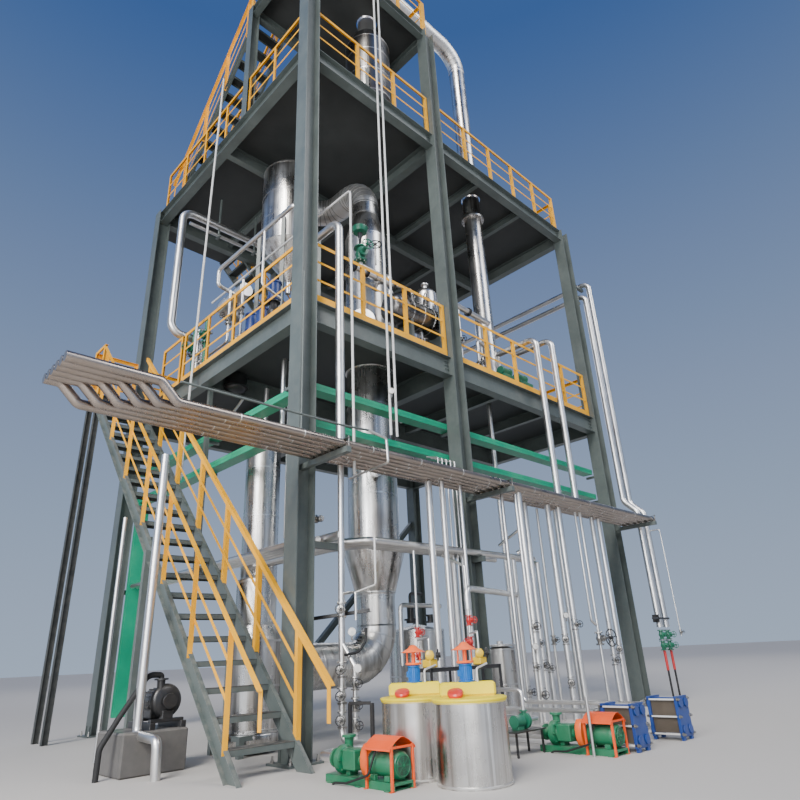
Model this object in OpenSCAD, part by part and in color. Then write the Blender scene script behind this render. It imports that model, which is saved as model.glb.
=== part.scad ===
// Distillation column plant: open steel frame on three deck levels with stairs,
// columns, tanks, piping and pumps. Millimetres, Z up. X runs along the long
// front face, Y along the left face away from the viewer, origin under the
// near corner column.

/* [Frame] */
// near bay along the front face
bay_1 = 3600; // [3000:50:4200]
// far bay along the front face
bay_2 = 5400; // [4800:50:6000]
// depth of the frame along the left face
frame_d = 6600; // [6000:50:7200]
// height of the first deck
level_1 = 6550; // [6300:50:6800]
// height of the second deck
level_2 = 12400; // [12150:50:12650]
// height of the top deck over the near bay
level_3 = 16000; // [15800:50:16400]
// depth of the top deck
top_d = 2350; // [2200:50:2600]
// size of the H columns
col_s = 300; // [260:10:340]
// depth of the main beams
beam_h = 400; // [350:10:440]
// width of the main beams
beam_w = 200; // [160:10:240]
// thickness of the deck plate
plate_t = 8; // [6:1:12]
// side of the column base plates
base_s = 500; // [440:20:600]
// thickness of the base plates
base_t = 25; // [16:1:36]

/* [Guard rails] */
// height of the top rail over the deck
rail_h = 1200; // [1100:10:1300]
// width of the rail angles
rail_w = 65; // [55:5:80]
// thickness of the rail angles
rail_t = 6; // [5:1:8]
// width of the mid rails
mid_w = 40; // [30:5:50]
// toe plate height on the first deck
toe_1 = 160; // [120:10:200]
// toe plate height on the upper decks
toe_2 = 100; // [80:10:140]
// spacing of the rail posts
post_gap = 1000; // [800:50:1300]

/* [Stairs] */
// width between the stair stringers
stair_w = 850; // [750:10:900]
// rise of one step
riser_h = 298; // [270:1:320]
// depth of the stair channels
string_h = 200; // [160:10:240]
// thickness of the stair channels
string_t = 10; // [8:1:14]
// depth of a tread plate
tread_d = 240; // [200:10:280]

/* [Vessels] */
// diameter of the main column
main_d = 940; // [860:10:1000]
// diameter of the vessel behind the near corner
sep_d = 1280; // [1180:10:1340]
// diameter of the vessel under the top deck
cond_d = 1070; // [980:10:1140]
// diameter of the slim column
slim_d = 450; // [400:10:500]
// diameter of the tall receiver
recv_d = 640; // [580:10:700]
// diameter of the sump tank
sump_d = 800; // [740:10:860]
// diameter of the rear tank
rear_d = 1080; // [1000:10:1140]
// diameter of the small tank
small_d = 540; // [500:10:600]
// diameter of the dosing tanks
dose_d = 716; // [660:2:720]
// height of the dosing tanks
dose_h = 725; // [660:5:800]
// wall of the vessels
wall = 8; // [6:1:12]
// diameter of the vapour duct
duct_d = 610; // [520:10:660]

/* [Pipes] */
// number of pipes in the long rack
rack_n = 6; // [4:1:7]
// diameter of the rack pipes
rack_p = 114; // [90:2:124]
// spacing of the rack pipes
rack_gap = 134; // [126:1:140]
// height of the long rack
rack_z = 3800; // [3600:20:4000]
// diameter of the big risers
rise_d = 140; // [110:2:150]
// width of the cable trays
tray_w = 240; // [180:10:260]
// height of the cable trays
tray_h = 110; // [80:5:130]
// height of the upper cable tray
tray_z2 = 5100; // [5000:20:5300]
// height of the lower cable tray
tray_z1 = 4480; // [4400:20:4600]
// height of the ground header
head_z = 2750; // [2650:10:2850]
// diameter of the ground header
head_d = 140; // [110:2:160]

/* [Hidden] */
$fn = 48;
// air left where two pieces meet, so that each stays a solid of its own
fit = 0.3;
x2 = bay_1;
x3 = bay_1 + bay_2;
y2 = frame_d;
hc = col_s / 2;
edge = 30;
z1b = level_1 - plate_t;
z2b = level_2 - plate_t;
z3b = level_3 - plate_t;
stair_x = -(hc + 150);
stair_xo = stair_x - stair_w;
stair_y1 = frame_d - 800;
rack_y0 = -(hc + 120);
pipe_y0 = rack_y0 - rack_p / 2;
rack_top = rack_z + rack_p / 2 + 0.3;
rack_low = rack_z - rack_p / 2;
land_l = 640;
head_y = -(hc + 20 + head_d / 2);
duct_z = 17200;
main_x = 2710;
main_y = 1500;
sep_x = 1440;
sep_y = 2680;
cond_x = 2300;
slim_x = 5900;
slim_y = 800;
cond_y = slim_y;
recv_x = 1060;
recv_y = 2750;
sump_x = 250;
sump_y = 1450;
cond_z = level_2 + 420;
cone_z0 = 2150;
cone_z1 = 3060;
body_z1 = level_2 - 2550;
neck_z = level_2 - 1900;
neck_h = 300;
duct_h = level_2 - 950;
duct_y = main_y + 1550;
duct_k = 1.02;
// elbow under the main column: centre height of its level leg and its radius
foot_z = 1060;
foot_r = 600;
// stringer line of the stair behind the frame
stair2_y = y2 + edge + 80;
// gap in the left rail for the cross walk, and its end before the landing
gate_y = y2 - 2200;
gate_w = 100;
rail_y1 = stair_y1 - 400;
// line of rack pipe number i
function rack_y(i) = pipe_y0 - i * rack_gap;
// length of a pump set and height of its shaft
pump_l = 1030;
pump_z = 200;
// diameter of the line from the near pump up to the rack
feed_d = 90;
// places of the dosing tanks, pumps and exchangers on the floor
dose_at = [[198, -1909, 0], [223, -2635, 0]];
pump_at = [[-360, -2270, 0], [2340, -3040, 0]];
cool_at = [[2730, -3110, 0], [3870, -3150, 0]];

module col_prof(s, tf, tw) {
  polygon([[-s / 2, -s / 2], [-s / 2 + tf, -s / 2], [-s / 2 + tf, -tw / 2],
    [s / 2 - tf, -tw / 2], [s / 2 - tf, -s / 2], [s / 2, -s / 2],
    [s / 2, s / 2], [s / 2 - tf, s / 2], [s / 2 - tf, tw / 2],
    [-s / 2 + tf, tw / 2], [-s / 2 + tf, s / 2], [-s / 2, s / 2]]);
}

module beam_prof(h, w, tf, tw) {
  polygon([[-w / 2, 0], [-w / 2, -tf], [-tw / 2, -tf], [-tw / 2, -h + tf],
    [-w / 2, -h + tf], [-w / 2, -h], [w / 2, -h], [w / 2, -h + tf],
    [tw / 2, -h + tf], [tw / 2, -tf], [w / 2, -tf], [w / 2, 0]]);
}

module beam_x(xa, xb, y, z, h, w) {
  translate([xa + fit, y, z]) rotate([90, 0, 90]) linear_extrude(xb - xa - 2 * fit) beam_prof(h, w, 12, 8);
}

module beam_y(x, ya, yb, z, h, w) {
  translate([x, yb - fit, z]) rotate([90, 0, 0]) linear_extrude(yb - ya - 2 * fit) beam_prof(h, w, 12, 8);
}

module seg(a, b, d) {
  v = b - a;
  l = norm(v);
  translate(a) rotate([0, acos(v[2] / l), atan2(v[1], v[0])]) cylinder(h = l, d = d);
}

// one pipe bend from direction u to direction v round the corner point p
module bend(p, u, v, d, r) {
  a = acos(u * v);
  w = cross(u, v) / norm(cross(u, v));
  n = cross(w, u);
  c = p - u * r * tan(a / 2) + n * r;
  flat = abs(n[2]) < 0.999;
  ax = flat ? atan2(u[2], w[2]) : atan2(-w[1], u[1]);
  ay = asin(n[2]);
  az = flat ? atan2(-n[1], -n[0]) : 0;
  translate(c) rotate([ax, ay, az]) rotate_extrude(angle = a) translate([r, 0]) circle(d = d);
}

function dir(a, b) = (b - a) / norm(b - a);

function turn(p, i, r) = i < 1 || i > len(p) - 2 ? 0
  : r * tan(acos(dir(p[i - 1], p[i]) * dir(p[i], p[i + 1])) / 2) + fit;

// a pipe through the points p, with a bend of radius k d at each corner
module run(p, d, k = 1.5) {
  r = d * k;
  for (i = [0 : len(p) - 2]) {
    u = dir(p[i], p[i + 1]);
    seg(p[i] + u * turn(p, i, r), p[i + 1] - u * turn(p, i + 1, r), d);
  }
  if (len(p) > 2) for (i = [1 : len(p) - 2]) bend(p[i], dir(p[i - 1], p[i]), dir(p[i], p[i + 1]), d, r);
}

module hor_rail(l, h, toe) {
  n = max(1, round(l / post_gap));
  cube([l, rail_t, toe]);
  translate([0, 0, h - rail_w]) cube([l, rail_t, rail_w]);
  translate([0, 0, h - rail_t]) cube([l, rail_w, rail_t]);
  for (z = [0.36, 0.66]) translate([0, 0, h * z]) cube([l, rail_t, mid_w]);
  for (i = [0 : n]) translate([i * (l - rail_w) / n, 0, 0]) {
    cube([rail_w, rail_t, h - rail_t / 2]);
    cube([rail_t, rail_w, h - rail_t / 2]);
  }
}

module rail_x(xa, xb, y, z, toe, side) {
  if (side < 0) translate([xa, y, z]) hor_rail(xb - xa, rail_h, toe);
  if (side > 0) translate([xb, y, z]) rotate([0, 0, 180]) hor_rail(xb - xa, rail_h, toe);
}

module rail_y(x, ya, yb, z, toe, side) {
  if (side < 0) translate([x, yb, z]) rotate([0, 0, -90]) hor_rail(yb - ya, rail_h, toe);
  if (side > 0) translate([x, ya, z]) rotate([0, 0, 90]) hor_rail(yb - ya, rail_h, toe);
}

module slope_side(rise, t) {
  rotate([90, 0, 0]) translate([0, 0, -t]) linear_extrude(t)
    polygon([[0, 0], [string_h * 1.4, 0], [rise + string_h * 1.4, rise], [rise, rise]]);
}

// angle hand rail over a stair: posts, two mid rails, and a free lower end
// that turns straight down
module slope_rail(rise) {
  x0 = 320;
  x1 = rise + 140;
  n = round((rise - x0) / post_gap);
  top = 1200;
  w = rail_w * sqrt(2);
  m = mid_w * sqrt(2);
  rotate([90, 0, 0]) {
    linear_extrude(rail_t) polygon([[-x0, top - x0 - w], [x1, x1 + top - w], [x1, x1 + top], [-x0, top - x0]]);
    linear_extrude(rail_w) polygon([[-x0, top - x0 - rail_t * 1.4], [x1, x1 + top - rail_t * 1.4], [x1, x1 + top], [-x0, top - x0]]);
    for (z = [400, 800]) linear_extrude(rail_t) polygon([[x0, x0 + z - m], [x1, x1 + z - m], [x1, x1 + z], [x0, x0 + z]]);
  }
  translate([-x0, -rail_t, 500]) cube([rail_w, rail_t, top - x0 - 500]);
  for (i = [0 : n]) {
    xx = x0 + i * (rise - 120 - x0) / n;
    translate([xx, -rail_t, xx - 60]) cube([rail_w, rail_t, top + 50]);
    translate([xx, -rail_w, xx - 60]) cube([rail_t, rail_w, top + 50]);
  }
}

module columns() {
  color([0.33, 0.37, 0.35]) {
    for (x = [0, x2]) translate([x, 0, base_t]) linear_extrude(z3b - base_t) col_prof(col_s, 16, 12);
    translate([x3, 0, base_t]) linear_extrude(level_2 - base_t) col_prof(col_s, 16, 12);
    for (x = [0, x2, x3]) translate([x, y2, base_t]) linear_extrude(level_2 - base_t) col_prof(col_s, 16, 12);
  }
}

module base_plates() {
  color([0.3, 0.32, 0.31])
    for (x = [0, x2, x3]) for (y = [0, y2]) translate([x - base_s / 2, y - base_s / 2, 0]) cube([base_s, base_s, base_t]);
}

module top_posts() {
  color([0.33, 0.37, 0.35])
    for (x = [0, x2]) translate([x, top_d, level_2]) linear_extrude(z3b - level_2) col_prof(200, 12, 8);
}

module grid(z, h, w) {
  for (y = [0, y2]) {
    beam_x(hc, x2 - hc, y, z, h, w);
    beam_x(x2 + hc, x3 - hc, y, z, h, w);
  }
  for (x = [0, x2, x3]) beam_y(x, 6, y2 - 6, z, h, w);
  beam_x(w / 2, x2 - w / 2, y2 / 2, z, h, w * 0.75);
  beam_x(x2 + w / 2, x3 - w / 2, y2 / 2, z, h, w * 0.75);
  for (x = [x2 + bay_2 / 3, x2 + bay_2 * 2 / 3]) {
    beam_y(x, w / 2, y2 / 2 - w * 0.375, z, h * 0.6, w * 0.6);
    beam_y(x, y2 / 2 + w * 0.375, y2 - w / 2, z, h * 0.6, w * 0.6);
  }
  beam_y(x2 * 0.53, y2 / 2 + w * 0.375, y2 - w / 2, z, h * 0.6, w * 0.6);
}

module beams_1() {
  color([0.3, 0.34, 0.32]) grid(z1b, beam_h, beam_w);
}

module beams_2() {
  color([0.3, 0.34, 0.32]) grid(z2b, beam_h * 0.85, beam_w);
}

module beams_3() {
  color([0.3, 0.34, 0.32]) {
    beam_x(hc, x2 - hc, 0, z3b, beam_h * 0.6, beam_w * 0.8);
    beam_x(100, x2 - 100, top_d, z3b, beam_h * 0.6, beam_w * 0.8);
    for (x = [0, x2]) beam_y(x, 6, top_d - 4, z3b, beam_h * 0.6, beam_w * 0.8);
  }
}

module plate(z, xb, yb) {
  difference() {
    translate([-edge, -edge, z - plate_t]) cube([xb + 2 * edge, yb + 2 * edge, plate_t]);
    for (x = [0, x2, x3]) for (y = [0, y2])
      translate([x - hc - 5, y - hc - 5, z - plate_t - 5]) cube([col_s + 10, col_s + 10, plate_t + 10]);
  }
}

module deck_1() {
  color([0.22, 0.24, 0.23])
    difference() {
      plate(level_1, x3, y2);
      translate([main_x, main_y, level_1 - 50]) cylinder(h = 100, d = main_d + 60);
    }
}

module deck_2() {
  color([0.22, 0.24, 0.23])
    difference() {
      plate(level_2, x3, y2);
      translate([slim_x, slim_y, level_2 - 50]) cylinder(h = 100, d = slim_d + 60);
    }
}

module deck_3() {
  color([0.22, 0.24, 0.23]) {
    difference() {
      translate([-edge, -edge, level_3 - plate_t]) cube([x2 + 2 * edge, top_d + 130, plate_t]);
      translate([cond_x, cond_y, level_3 - 50]) cylinder(h = 100, d = slim_d + 60);
    }
  }
}

module rails_front(z, toe) {
  rail_x(hc + 20, x2 - hc - 20, -edge, z, toe, -1);
  rail_x(x2 + hc + 20, x3 - hc - 20, -edge, z, toe, -1);
}

module rails_1_front() {
  color([0.9, 0.62, 0.02]) rails_front(level_1, toe_1);
}

module rails_1_left() {
  color([0.9, 0.62, 0.02]) {
    rail_y(-edge, hc + 20, gate_y - gate_w / 2, level_1, toe_1, -1);
    rail_y(-edge, gate_y + gate_w / 2, rail_y1, level_1, toe_1, -1);
    rail_y(stair_xo - string_t, stair_y1 + 20, stair_y1 + land_l - 40, level_1, toe_1, -1);
    rail_x(stair_xo + rail_w, -hc - 60, stair_y1 + land_l, level_1, toe_1, 1);
  }
}

module rails_1_rear() {
  color([0.9, 0.62, 0.02]) {
    rail_x(hc + 20, x2 - hc - 20, y2 + edge, level_1, toe_1, 1);
    rail_x(x2 + hc + 20, x3 - hc - 1200, y2 + edge, level_1, toe_1, 1);
    rail_y(x3 + edge, hc + 20, y2 - hc - 20, level_1, toe_1, 1);
  }
}

module rails_2_front() {
  color([0.9, 0.62, 0.02]) rails_front(level_2, toe_2);
}

module rails_2_left() {
  color([0.9, 0.62, 0.02]) rail_y(-edge, hc + 20, y2 - hc - 20, level_2, toe_2, -1);
}

module rails_2_rear() {
  color([0.9, 0.62, 0.02]) {
    rail_x(hc + 1200, x2 - hc - 20, y2 + edge, level_2, toe_2, 1);
    rail_x(x2 + hc + 20, x3 - hc - 20, y2 + edge, level_2, toe_2, 1);
    rail_y(x3 + edge, hc + 20, y2 - hc - 20, level_2, toe_2, 1);
  }
}

module rails_3() {
  color([0.9, 0.62, 0.02]) {
    rail_x(-edge + rail_w + fit, x2 + edge - rail_w - fit, -edge, level_3, toe_2, -1);
    rail_y(-edge, -edge, top_d + 100, level_3, toe_2, -1);
    rail_y(x2 + edge, -edge, top_d + 100, level_3, toe_2, 1);
    rail_x(1000, x2 + edge - rail_w - fit, top_d + 100, level_3, toe_2, 1);
  }
}

module stair_1() {
  color([0.36, 0.4, 0.38]) {
    for (x = [stair_x, stair_xo - string_t])
      translate([x + string_t, stair_y1 - level_1 + plate_t, 0]) rotate([0, 0, 90]) slope_side(level_1 - plate_t, string_t);
    translate([stair_xo - string_t - 80, stair_y1 - level_1 + 2860, 0]) cube([80, 80, 2750]);
  }
}

module treads(rise, w) {
  n = round(rise / riser_h) - 1;
  for (i = [1 : n]) translate([i * rise / (n + 1) + 20, 0, i * rise / (n + 1)]) cube([tread_d, w, 6]);
}

module treads_1() {
  color([0.3, 0.33, 0.32])
    translate([stair_x, stair_y1 - level_1 + plate_t, 0]) rotate([0, 0, 90]) treads(level_1 - plate_t, stair_w);
}

module stair_1_rails() {
  color([0.9, 0.62, 0.02])
    translate([0, stair_y1 - level_1, 0]) {
      translate([stair_x + string_t, 0, 0]) rotate([0, 0, 90]) slope_rail(level_1 - 250);
      translate([stair_xo - string_t, 0, 0]) rotate([0, 0, 90]) mirror([0, 1, 0]) slope_rail(level_1 - 250);
    }
}

module landing_1() {
  color([0.3, 0.33, 0.32]) {
    translate([stair_xo - string_t, stair_y1, z1b]) cube([-stair_xo + string_t - edge - 2, land_l, plate_t]);
    for (y = [stair_y1 + 60, stair_y1 + land_l - 60]) {
      beam_x(stair_xo - string_t, -beam_w / 2, y, z1b, 160, 80);
      translate([stair_xo + 40, y, 0]) linear_extrude(z1b - 160 - fit) col_prof(100, 8, 6);
    }
  }
}

module stair_2() {
  color([0.36, 0.4, 0.38])
    for (y = [stair2_y, stair2_y + stair_w + string_t])
      translate([x3 - 700, y, level_1]) mirror([1, 0, 0]) slope_side(level_2 - level_1 - plate_t, string_t);
}

module treads_2() {
  color([0.3, 0.33, 0.32])
    translate([x3 - 700, stair2_y + string_t, level_1]) mirror([1, 0, 0]) treads(level_2 - level_1 - plate_t, stair_w);
}

module stair_2_rails() {
  r = level_2 - level_1 - 250;
  color([0.9, 0.62, 0.02])
    translate([x3 - 700, stair2_y, level_1]) mirror([1, 0, 0]) {
      slope_rail(r);
      translate([0, stair_w + 2 * string_t, 0]) mirror([0, 1, 0]) slope_rail(r);
    }
}

module landings_2() {
  color([0.3, 0.33, 0.32]) {
    translate([x3 - 1300, y2 + edge + 2, z1b]) cube([1300 - hc - 60, stair_w + 100, plate_t]);
    for (x = [x3 - 1200, x3 - hc - 120]) beam_y(x, y2 + beam_w / 2, y2 + edge + stair_w + 100, z1b, 160, 80);
    translate([hc + 100, y2 + edge + 2, z2b]) cube([x3 - 700 - level_2 + level_1 - hc - 100, stair_w + 100, plate_t]);
    for (x = [hc + 200, x3 - 800 - level_2 + level_1]) beam_y(x, y2 + beam_w / 2, y2 + edge + stair_w + 100, z2b, 160, 80);
  }
}

module stair_3() {
  color([0.36, 0.4, 0.38])
    for (x = [120, 120 + string_t + stair_w - 100])
      translate([x, top_d + 100 + level_3 - level_2, level_2]) rotate([0, 0, -90]) slope_side(z3b - level_2, string_t);
}

module treads_3() {
  color([0.3, 0.33, 0.32])
    translate([120 + string_t, top_d + 100 + level_3 - level_2, level_2]) rotate([0, 0, -90]) treads(z3b - level_2, stair_w - 100);
}

module stair_3_rails() {
  r = level_3 - level_2 - 250;
  color([0.9, 0.62, 0.02])
    translate([120, top_d + 100 + level_3 - level_2, level_2]) rotate([0, 0, -90]) {
      slope_rail(r);
      translate([0, stair_w - 100 + 2 * string_t, 0]) mirror([0, 1, 0]) slope_rail(r);
    }
}

module main_column() {
  r = main_d / 2;
  n = main_d * 0.73 / 2;
  color([0.78, 0.78, 0.76])
    translate([main_x, main_y, 0]) rotate_extrude()
      polygon([[n - wall, cone_z0], [n, cone_z0], [r, cone_z1], [r, body_z1], [r - wall, body_z1], [r - wall, cone_z1]]);
}

module main_head() {
  r = main_d / 2;
  d = duct_d / 2;
  color([0.8, 0.8, 0.78])
    translate([main_x, main_y, 0]) rotate_extrude()
      polygon([[r - wall, body_z1], [r, body_z1], [d, neck_z], [d, neck_z + neck_h], [d - wall, neck_z + neck_h], [d - wall, neck_z]]);
}

module main_foot() {
  n = main_d * 0.73;
  z = foot_z + foot_r;
  color([0.72, 0.72, 0.7]) {
    translate([main_x, main_y, z + fit]) cylinder(h = cone_z0 - z - 2 * fit, d = n);
    translate([main_x - foot_r, main_y, z]) rotate([90, 0, 0]) rotate([0, 0, -90])
      rotate_extrude(angle = 90) translate([foot_r, 0]) circle(d = n);
    translate([sump_x + sump_d * 0.15, main_y, foot_z]) rotate([0, 90, 0])
      cylinder(h = main_x - foot_r - sump_x - sump_d * 0.15 - fit, d = n);
  }
}

module vapour_duct() {
  color([0.82, 0.82, 0.8])
    run([[main_x, main_y, neck_z + neck_h + fit], [main_x, main_y, duct_h],
      [main_x, duct_y, duct_h], [sep_x + sep_d * 0.3, duct_y, duct_h]], duct_d, duct_k);
}

module separator() {
  r = sep_d / 2;
  z = duct_h - 2650;
  color([0.76, 0.76, 0.74])
    difference() {
      translate([sep_x, sep_y, z]) rotate_extrude()
        polygon([[0, -250], [60, -250], [60, 20], [r, 850], [r, 2950], [r * 0.8, 3080], [0, 3150],
          [0, 3130], [r * 0.8 - wall, 3060], [r - wall, 2940], [r - wall, 860], [52, 30], [52, -230], [0, -230]]);
      translate([sep_x, duct_y, duct_h]) rotate([0, 90, 0]) cylinder(h = sep_d, d = duct_d + 2 * fit);
    }
}

module main_lugs() {
  color([0.5, 0.5, 0.5])
    for (a = [0, 90, 180, 270])
      translate([main_x, main_y, level_1]) rotate([0, 0, a]) translate([main_d / 2 + 0.3, -60, 0]) cube([140, 120, 180]);
}

module separator_legs() {
  color([0.4, 0.42, 0.42])
    for (a = [45, 135, 225, 315])
      translate([sep_x, sep_y, 0]) rotate([0, 0, a]) translate([sep_d / 2 + 50, 0, level_1]) translate([-50, -40, 0]) cube([80, 80, duct_h - 1350 - level_1]);
}

module condenser() {
  r = cond_d / 2;
  color([0.5, 0.5, 0.5])
    translate([cond_x, cond_y, cond_z]) rotate_extrude()
      polygon([[0, 0], [r * 0.8, 120], [r, 320], [r, 2150], [r * 0.78, 2450], [slim_d / 2, 2560], [slim_d / 2 - wall, 2550],
        [r * 0.78 - wall, 2430], [r - wall, 2140], [r - wall, 330], [r * 0.8 - wall, 135], [0, 12]]);
}

module condenser_legs() {
  color([0.4, 0.42, 0.42])
    for (a = [45, 135, 225, 315])
      translate([cond_x, cond_y, level_2]) rotate([0, 0, a]) translate([cond_d / 2, -40, 0]) cube([80, 80, 1300]);
}

module slim_column() {
  color([0.8, 0.8, 0.78]) translate([slim_x, slim_y, level_1]) cylinder(h = duct_z - 100 - fit - level_1, d = slim_d);
}

module top_duct() {
  z = duct_z + slim_d * 1.5;
  color([0.8, 0.8, 0.78])
    run([[slim_x, slim_y, duct_z - 100], [slim_x, slim_y, z], [cond_x, cond_y, z], [cond_x, cond_y, cond_z + 2560 + fit]], slim_d);
}

module receiver() {
  r = recv_d / 2;
  color([0.74, 0.74, 0.72])
    translate([recv_x, recv_y, 0]) rotate_extrude()
      polygon([[0, 0], [r, 0], [r, 4950], [r * 0.7, 5120], [0, 5180], [0, 5165], [r * 0.7 - wall, 5105], [r - wall, 4940], [r - wall, 12], [0, 12]]);
}

module sump_tank() {
  r = sump_d / 2;
  color([0.74, 0.74, 0.72])
    difference() {
      translate([sump_x, sump_y, 260]) rotate_extrude()
        polygon([[0, 0], [r, 0], [r, 1200], [r * 0.75, 1400], [r * 0.75, 2050], [0, 2150], [0, 2135],
          [r * 0.75 - wall, 2040], [r * 0.75 - wall, 1410], [r - wall, 1210], [r - wall, 12], [0, 12]]);
      translate([sump_x, main_y, foot_z]) rotate([0, 90, 0]) cylinder(h = sump_d, d = main_d * 0.73 + 2 * fit);
    }
}

module tank_stand() {
  color([0.35, 0.38, 0.37]) {
    translate([sump_x - 420, sump_y - 420, 200]) cube([840, 840, 60]);
    for (a = [0, 1]) for (b = [0, 1]) translate([sump_x - 420 + a * 760, sump_y - 420 + b * 760, 0]) cube([80, 80, 200]);
  }
}

module rear_tank() {
  r = rear_d / 2;
  color([0.74, 0.74, 0.72])
    translate([x2 + 500, 1900, 0]) rotate_extrude()
      polygon([[0, 0], [r, 0], [r, 1600], [0, 1720], [0, 1705], [r - wall, 1590], [r - wall, 12], [0, 12]]);
}

module small_tank() {
  r = small_d / 2;
  color([0.74, 0.74, 0.72])
    translate([5000, 600, 0]) rotate_extrude()
      polygon([[0, 0], [r, 0], [r, 1200], [0, 1260], [0, 1245], [r - wall, 1190], [r - wall, 12], [0, 12]]);
}

module pipe_rack() {
  up = rack_z + 200;
  color([0.6, 0.58, 0.55])
    for (i = [0 : rack_n - 1]) {
      y = rack_y(i);
      x = -2330 - (rack_n - 1 - i) * rack_gap * 1.2;
      run([[-3500, y, up], [x - 200, y, up], [x, y, rack_z], [x3 + 80, y, rack_z]], rack_p, 0.8);
    }
}

module rack_bearers() {
  w = rack_n * rack_gap + 60;
  color([0.33, 0.37, 0.35])
    for (x = [0, x2, x3]) translate([x - 40, -hc - w - 80, rack_low - 80]) cube([80, hc + w + 74, 80]);
}

module ground_header() {
  zb = head_z - head_d / 2;
  za = zb + head_d * 0.4;
  color([0.7, 0.7, 0.68]) {
    run([[610, y2 + 400, za], [610, 500, za], [1100, head_y, za], [5200, head_y, za]], head_d * 0.8);
    difference() {
      translate([470, pipe_y0, zb + head_d * 0.45]) rotate([-90, 0, 0]) cylinder(h = y2 + 400 - pipe_y0, d = head_d * 0.9);
      translate([470, pipe_y0, 0]) cylinder(h = rack_z, d = feed_d + 2 * fit);
    }
    for (x = [220, 340]) run([[x, y2 - hc - 200, zb + 45], [x, 30, zb + 45]], 90);
    difference() {
      for (i = [0, 1]) run([[recv_x - 130 + i * 130, recv_y, za], [recv_x - 130 + i * 130, 600 + i * 70, za],
        [1300 + i * 60, head_y + 140 + i * 130, za], [x2 - hc - 120 - i * 130, head_y + 140 + i * 130, za],
        [x2 - hc - 120 - i * 130, head_y + 140 + i * 130, 0]], 100);
      translate([recv_x, recv_y, 0]) cylinder(h = rack_z, d = recv_d + 2 * fit);
    }
  }
}

module pipe_arms() {
  z = head_z - 160;
  color([0.33, 0.37, 0.35]) {
    for (y = [-40, y2 - 40]) translate([hc, y, z]) cube([560, 80, 90]);
    translate([hc + 20, y2 / 2 - 60, z]) cube([520, 80, 90]);
    translate([hc - 60 - fit, y2 / 2 - 60, z]) cube([80, 80, z1b - beam_h - z]);
    translate([x2 - 40, head_y - 90, z]) cube([80, -head_y + 84, 90]);
    for (y = [0, y2]) {
      translate([x3 + hc, y - 40, level_2 - 1550 - rise_d / 2 - 80 - fit]) cube([620, 80, 80]);
      translate([x3 + hc, y - 40, level_2 - 2100 - rise_d / 2 - 80 - fit]) cube([290, 80, 80]);
    }
  }
}

module tray_run(z) {
  o = hc + 20;
  color([0.05, 0.55, 0.38]) {
    translate([o, o, z]) cube([x3 - 2 * o, tray_w, tray_h]);
    translate([o, o + tray_w + fit, z]) cube([tray_w, y2 - 2 * o - tray_w, tray_h]);
  }
}

module trays() {
  tray_run(tray_z1);
  tray_run(tray_z2);
  color([0.05, 0.55, 0.38])
    translate([hc + 20, y2 - hc - 20 - tray_h, 300]) cube([tray_w, tray_h, tray_z1 - 300 - fit]);
}

module tray_arms() {
  color([0.33, 0.37, 0.35])
    for (z = [tray_z1, tray_z2]) {
      for (x = [0, x2, x3]) translate([x - 30, 6, z - 50]) cube([60, hc + tray_w + 30, 50]);
      translate([hc, y2 - 30, z - 50]) cube([tray_w + 40, 60, 50]);
      translate([hc + 20, y2 / 2 + 25, z - 50]) cube([tray_w + 20, 60, 50]);
    }
}

module front_risers() {
  color([0.78, 0.78, 0.76]) {
    for (p = [[470, 1600], [x2 + 2680, 1300], [x2 + 3370, 1500]])
      run([[p[0], pipe_y0, rack_top], [p[0], pipe_y0, level_1 + p[1]], [p[0], 800, level_1 + p[1]]], rise_d);
  }
}

module left_risers() {
  x = -hc - 80;
  y = 4700;
  za = level_1 + 1350;
  zb = level_2 - 1200;
  color([0.78, 0.78, 0.76]) run([[500, y, level_1], [500, y, za], [x, y, za], [x, y, zb], [400, y, zb]], 180);
}

module right_risers() {
  color([0.78, 0.78, 0.76])
    for (i = [0, 1]) {
      x = x3 + 330 + i * 330;
      z = level_2 - 2100 + i * 550;
      run([[x, y2 + 60, z], [x, -260, z], [x, -260, rack_z + 600], [x, -560, rack_z + 300], [x, -560, 1500]], rise_d);
    }
}

module downcomers() {
  z = rack_low - fit;
  a = pump_at[0];
  b = pump_at[1];
  color([0.76, 0.76, 0.74]) {
    for (p = [[2170, 1, 110], [4060, 4, 114], [4800, 1, 100], [5370, 2, 110], [5750, 2, 110],
      [6560, 2, 60], [7250, 1, 100], [7530, 1, 100]])
      translate([p[0], rack_y(p[1]), 0]) cylinder(h = z, d = p[2]);
    translate([4450, head_y, 0]) cylinder(h = head_z - head_d / 2 - fit, d = 90);
    for (p = [[5600, 700], [6000, 1000]]) translate([p[0], p[1], 0]) cylinder(h = z1b - fit, d = 100);
    for (p = cool_at) run([[p[0] + 60, p[1] + 410 + fit, 400], [p[0] + 60, rack_y(2), 400], [p[0] + 60, rack_y(2), z]], 60);
    run([[b[0], b[1] + pump_l + fit, pump_z], [b[0], rack_y(2), pump_z], [b[0], rack_y(2), z]], 70);
    run([[a[0], a[1] + pump_l + fit, pump_z], [a[0], a[1] + pump_l + 280, pump_z], [470, a[1] + pump_l + 280, pump_z],
      [470, pipe_y0, pump_z], [470, pipe_y0, z]], feed_d);
  }
}

module dosing_tanks() {
  color([0.8, 0.8, 0.78])
    for (p = dose_at) translate(p) difference() {
      cylinder(h = dose_h, d = dose_d);
      translate([0, 0, wall]) cylinder(h = dose_h, d = dose_d - 2 * wall);
    }
}

module dosing_lids() {
  color([0.9, 0.85, 0.05])
    for (p = dose_at) translate(p + [0, 0, dose_h]) {
      cylinder(h = 20, d = dose_d + 30);
      rotate([0, 0, 45]) translate([20, -dose_d * 0.39, 20]) cube([dose_d * 0.28, dose_d * 0.78, 130]);
    }
}

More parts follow.
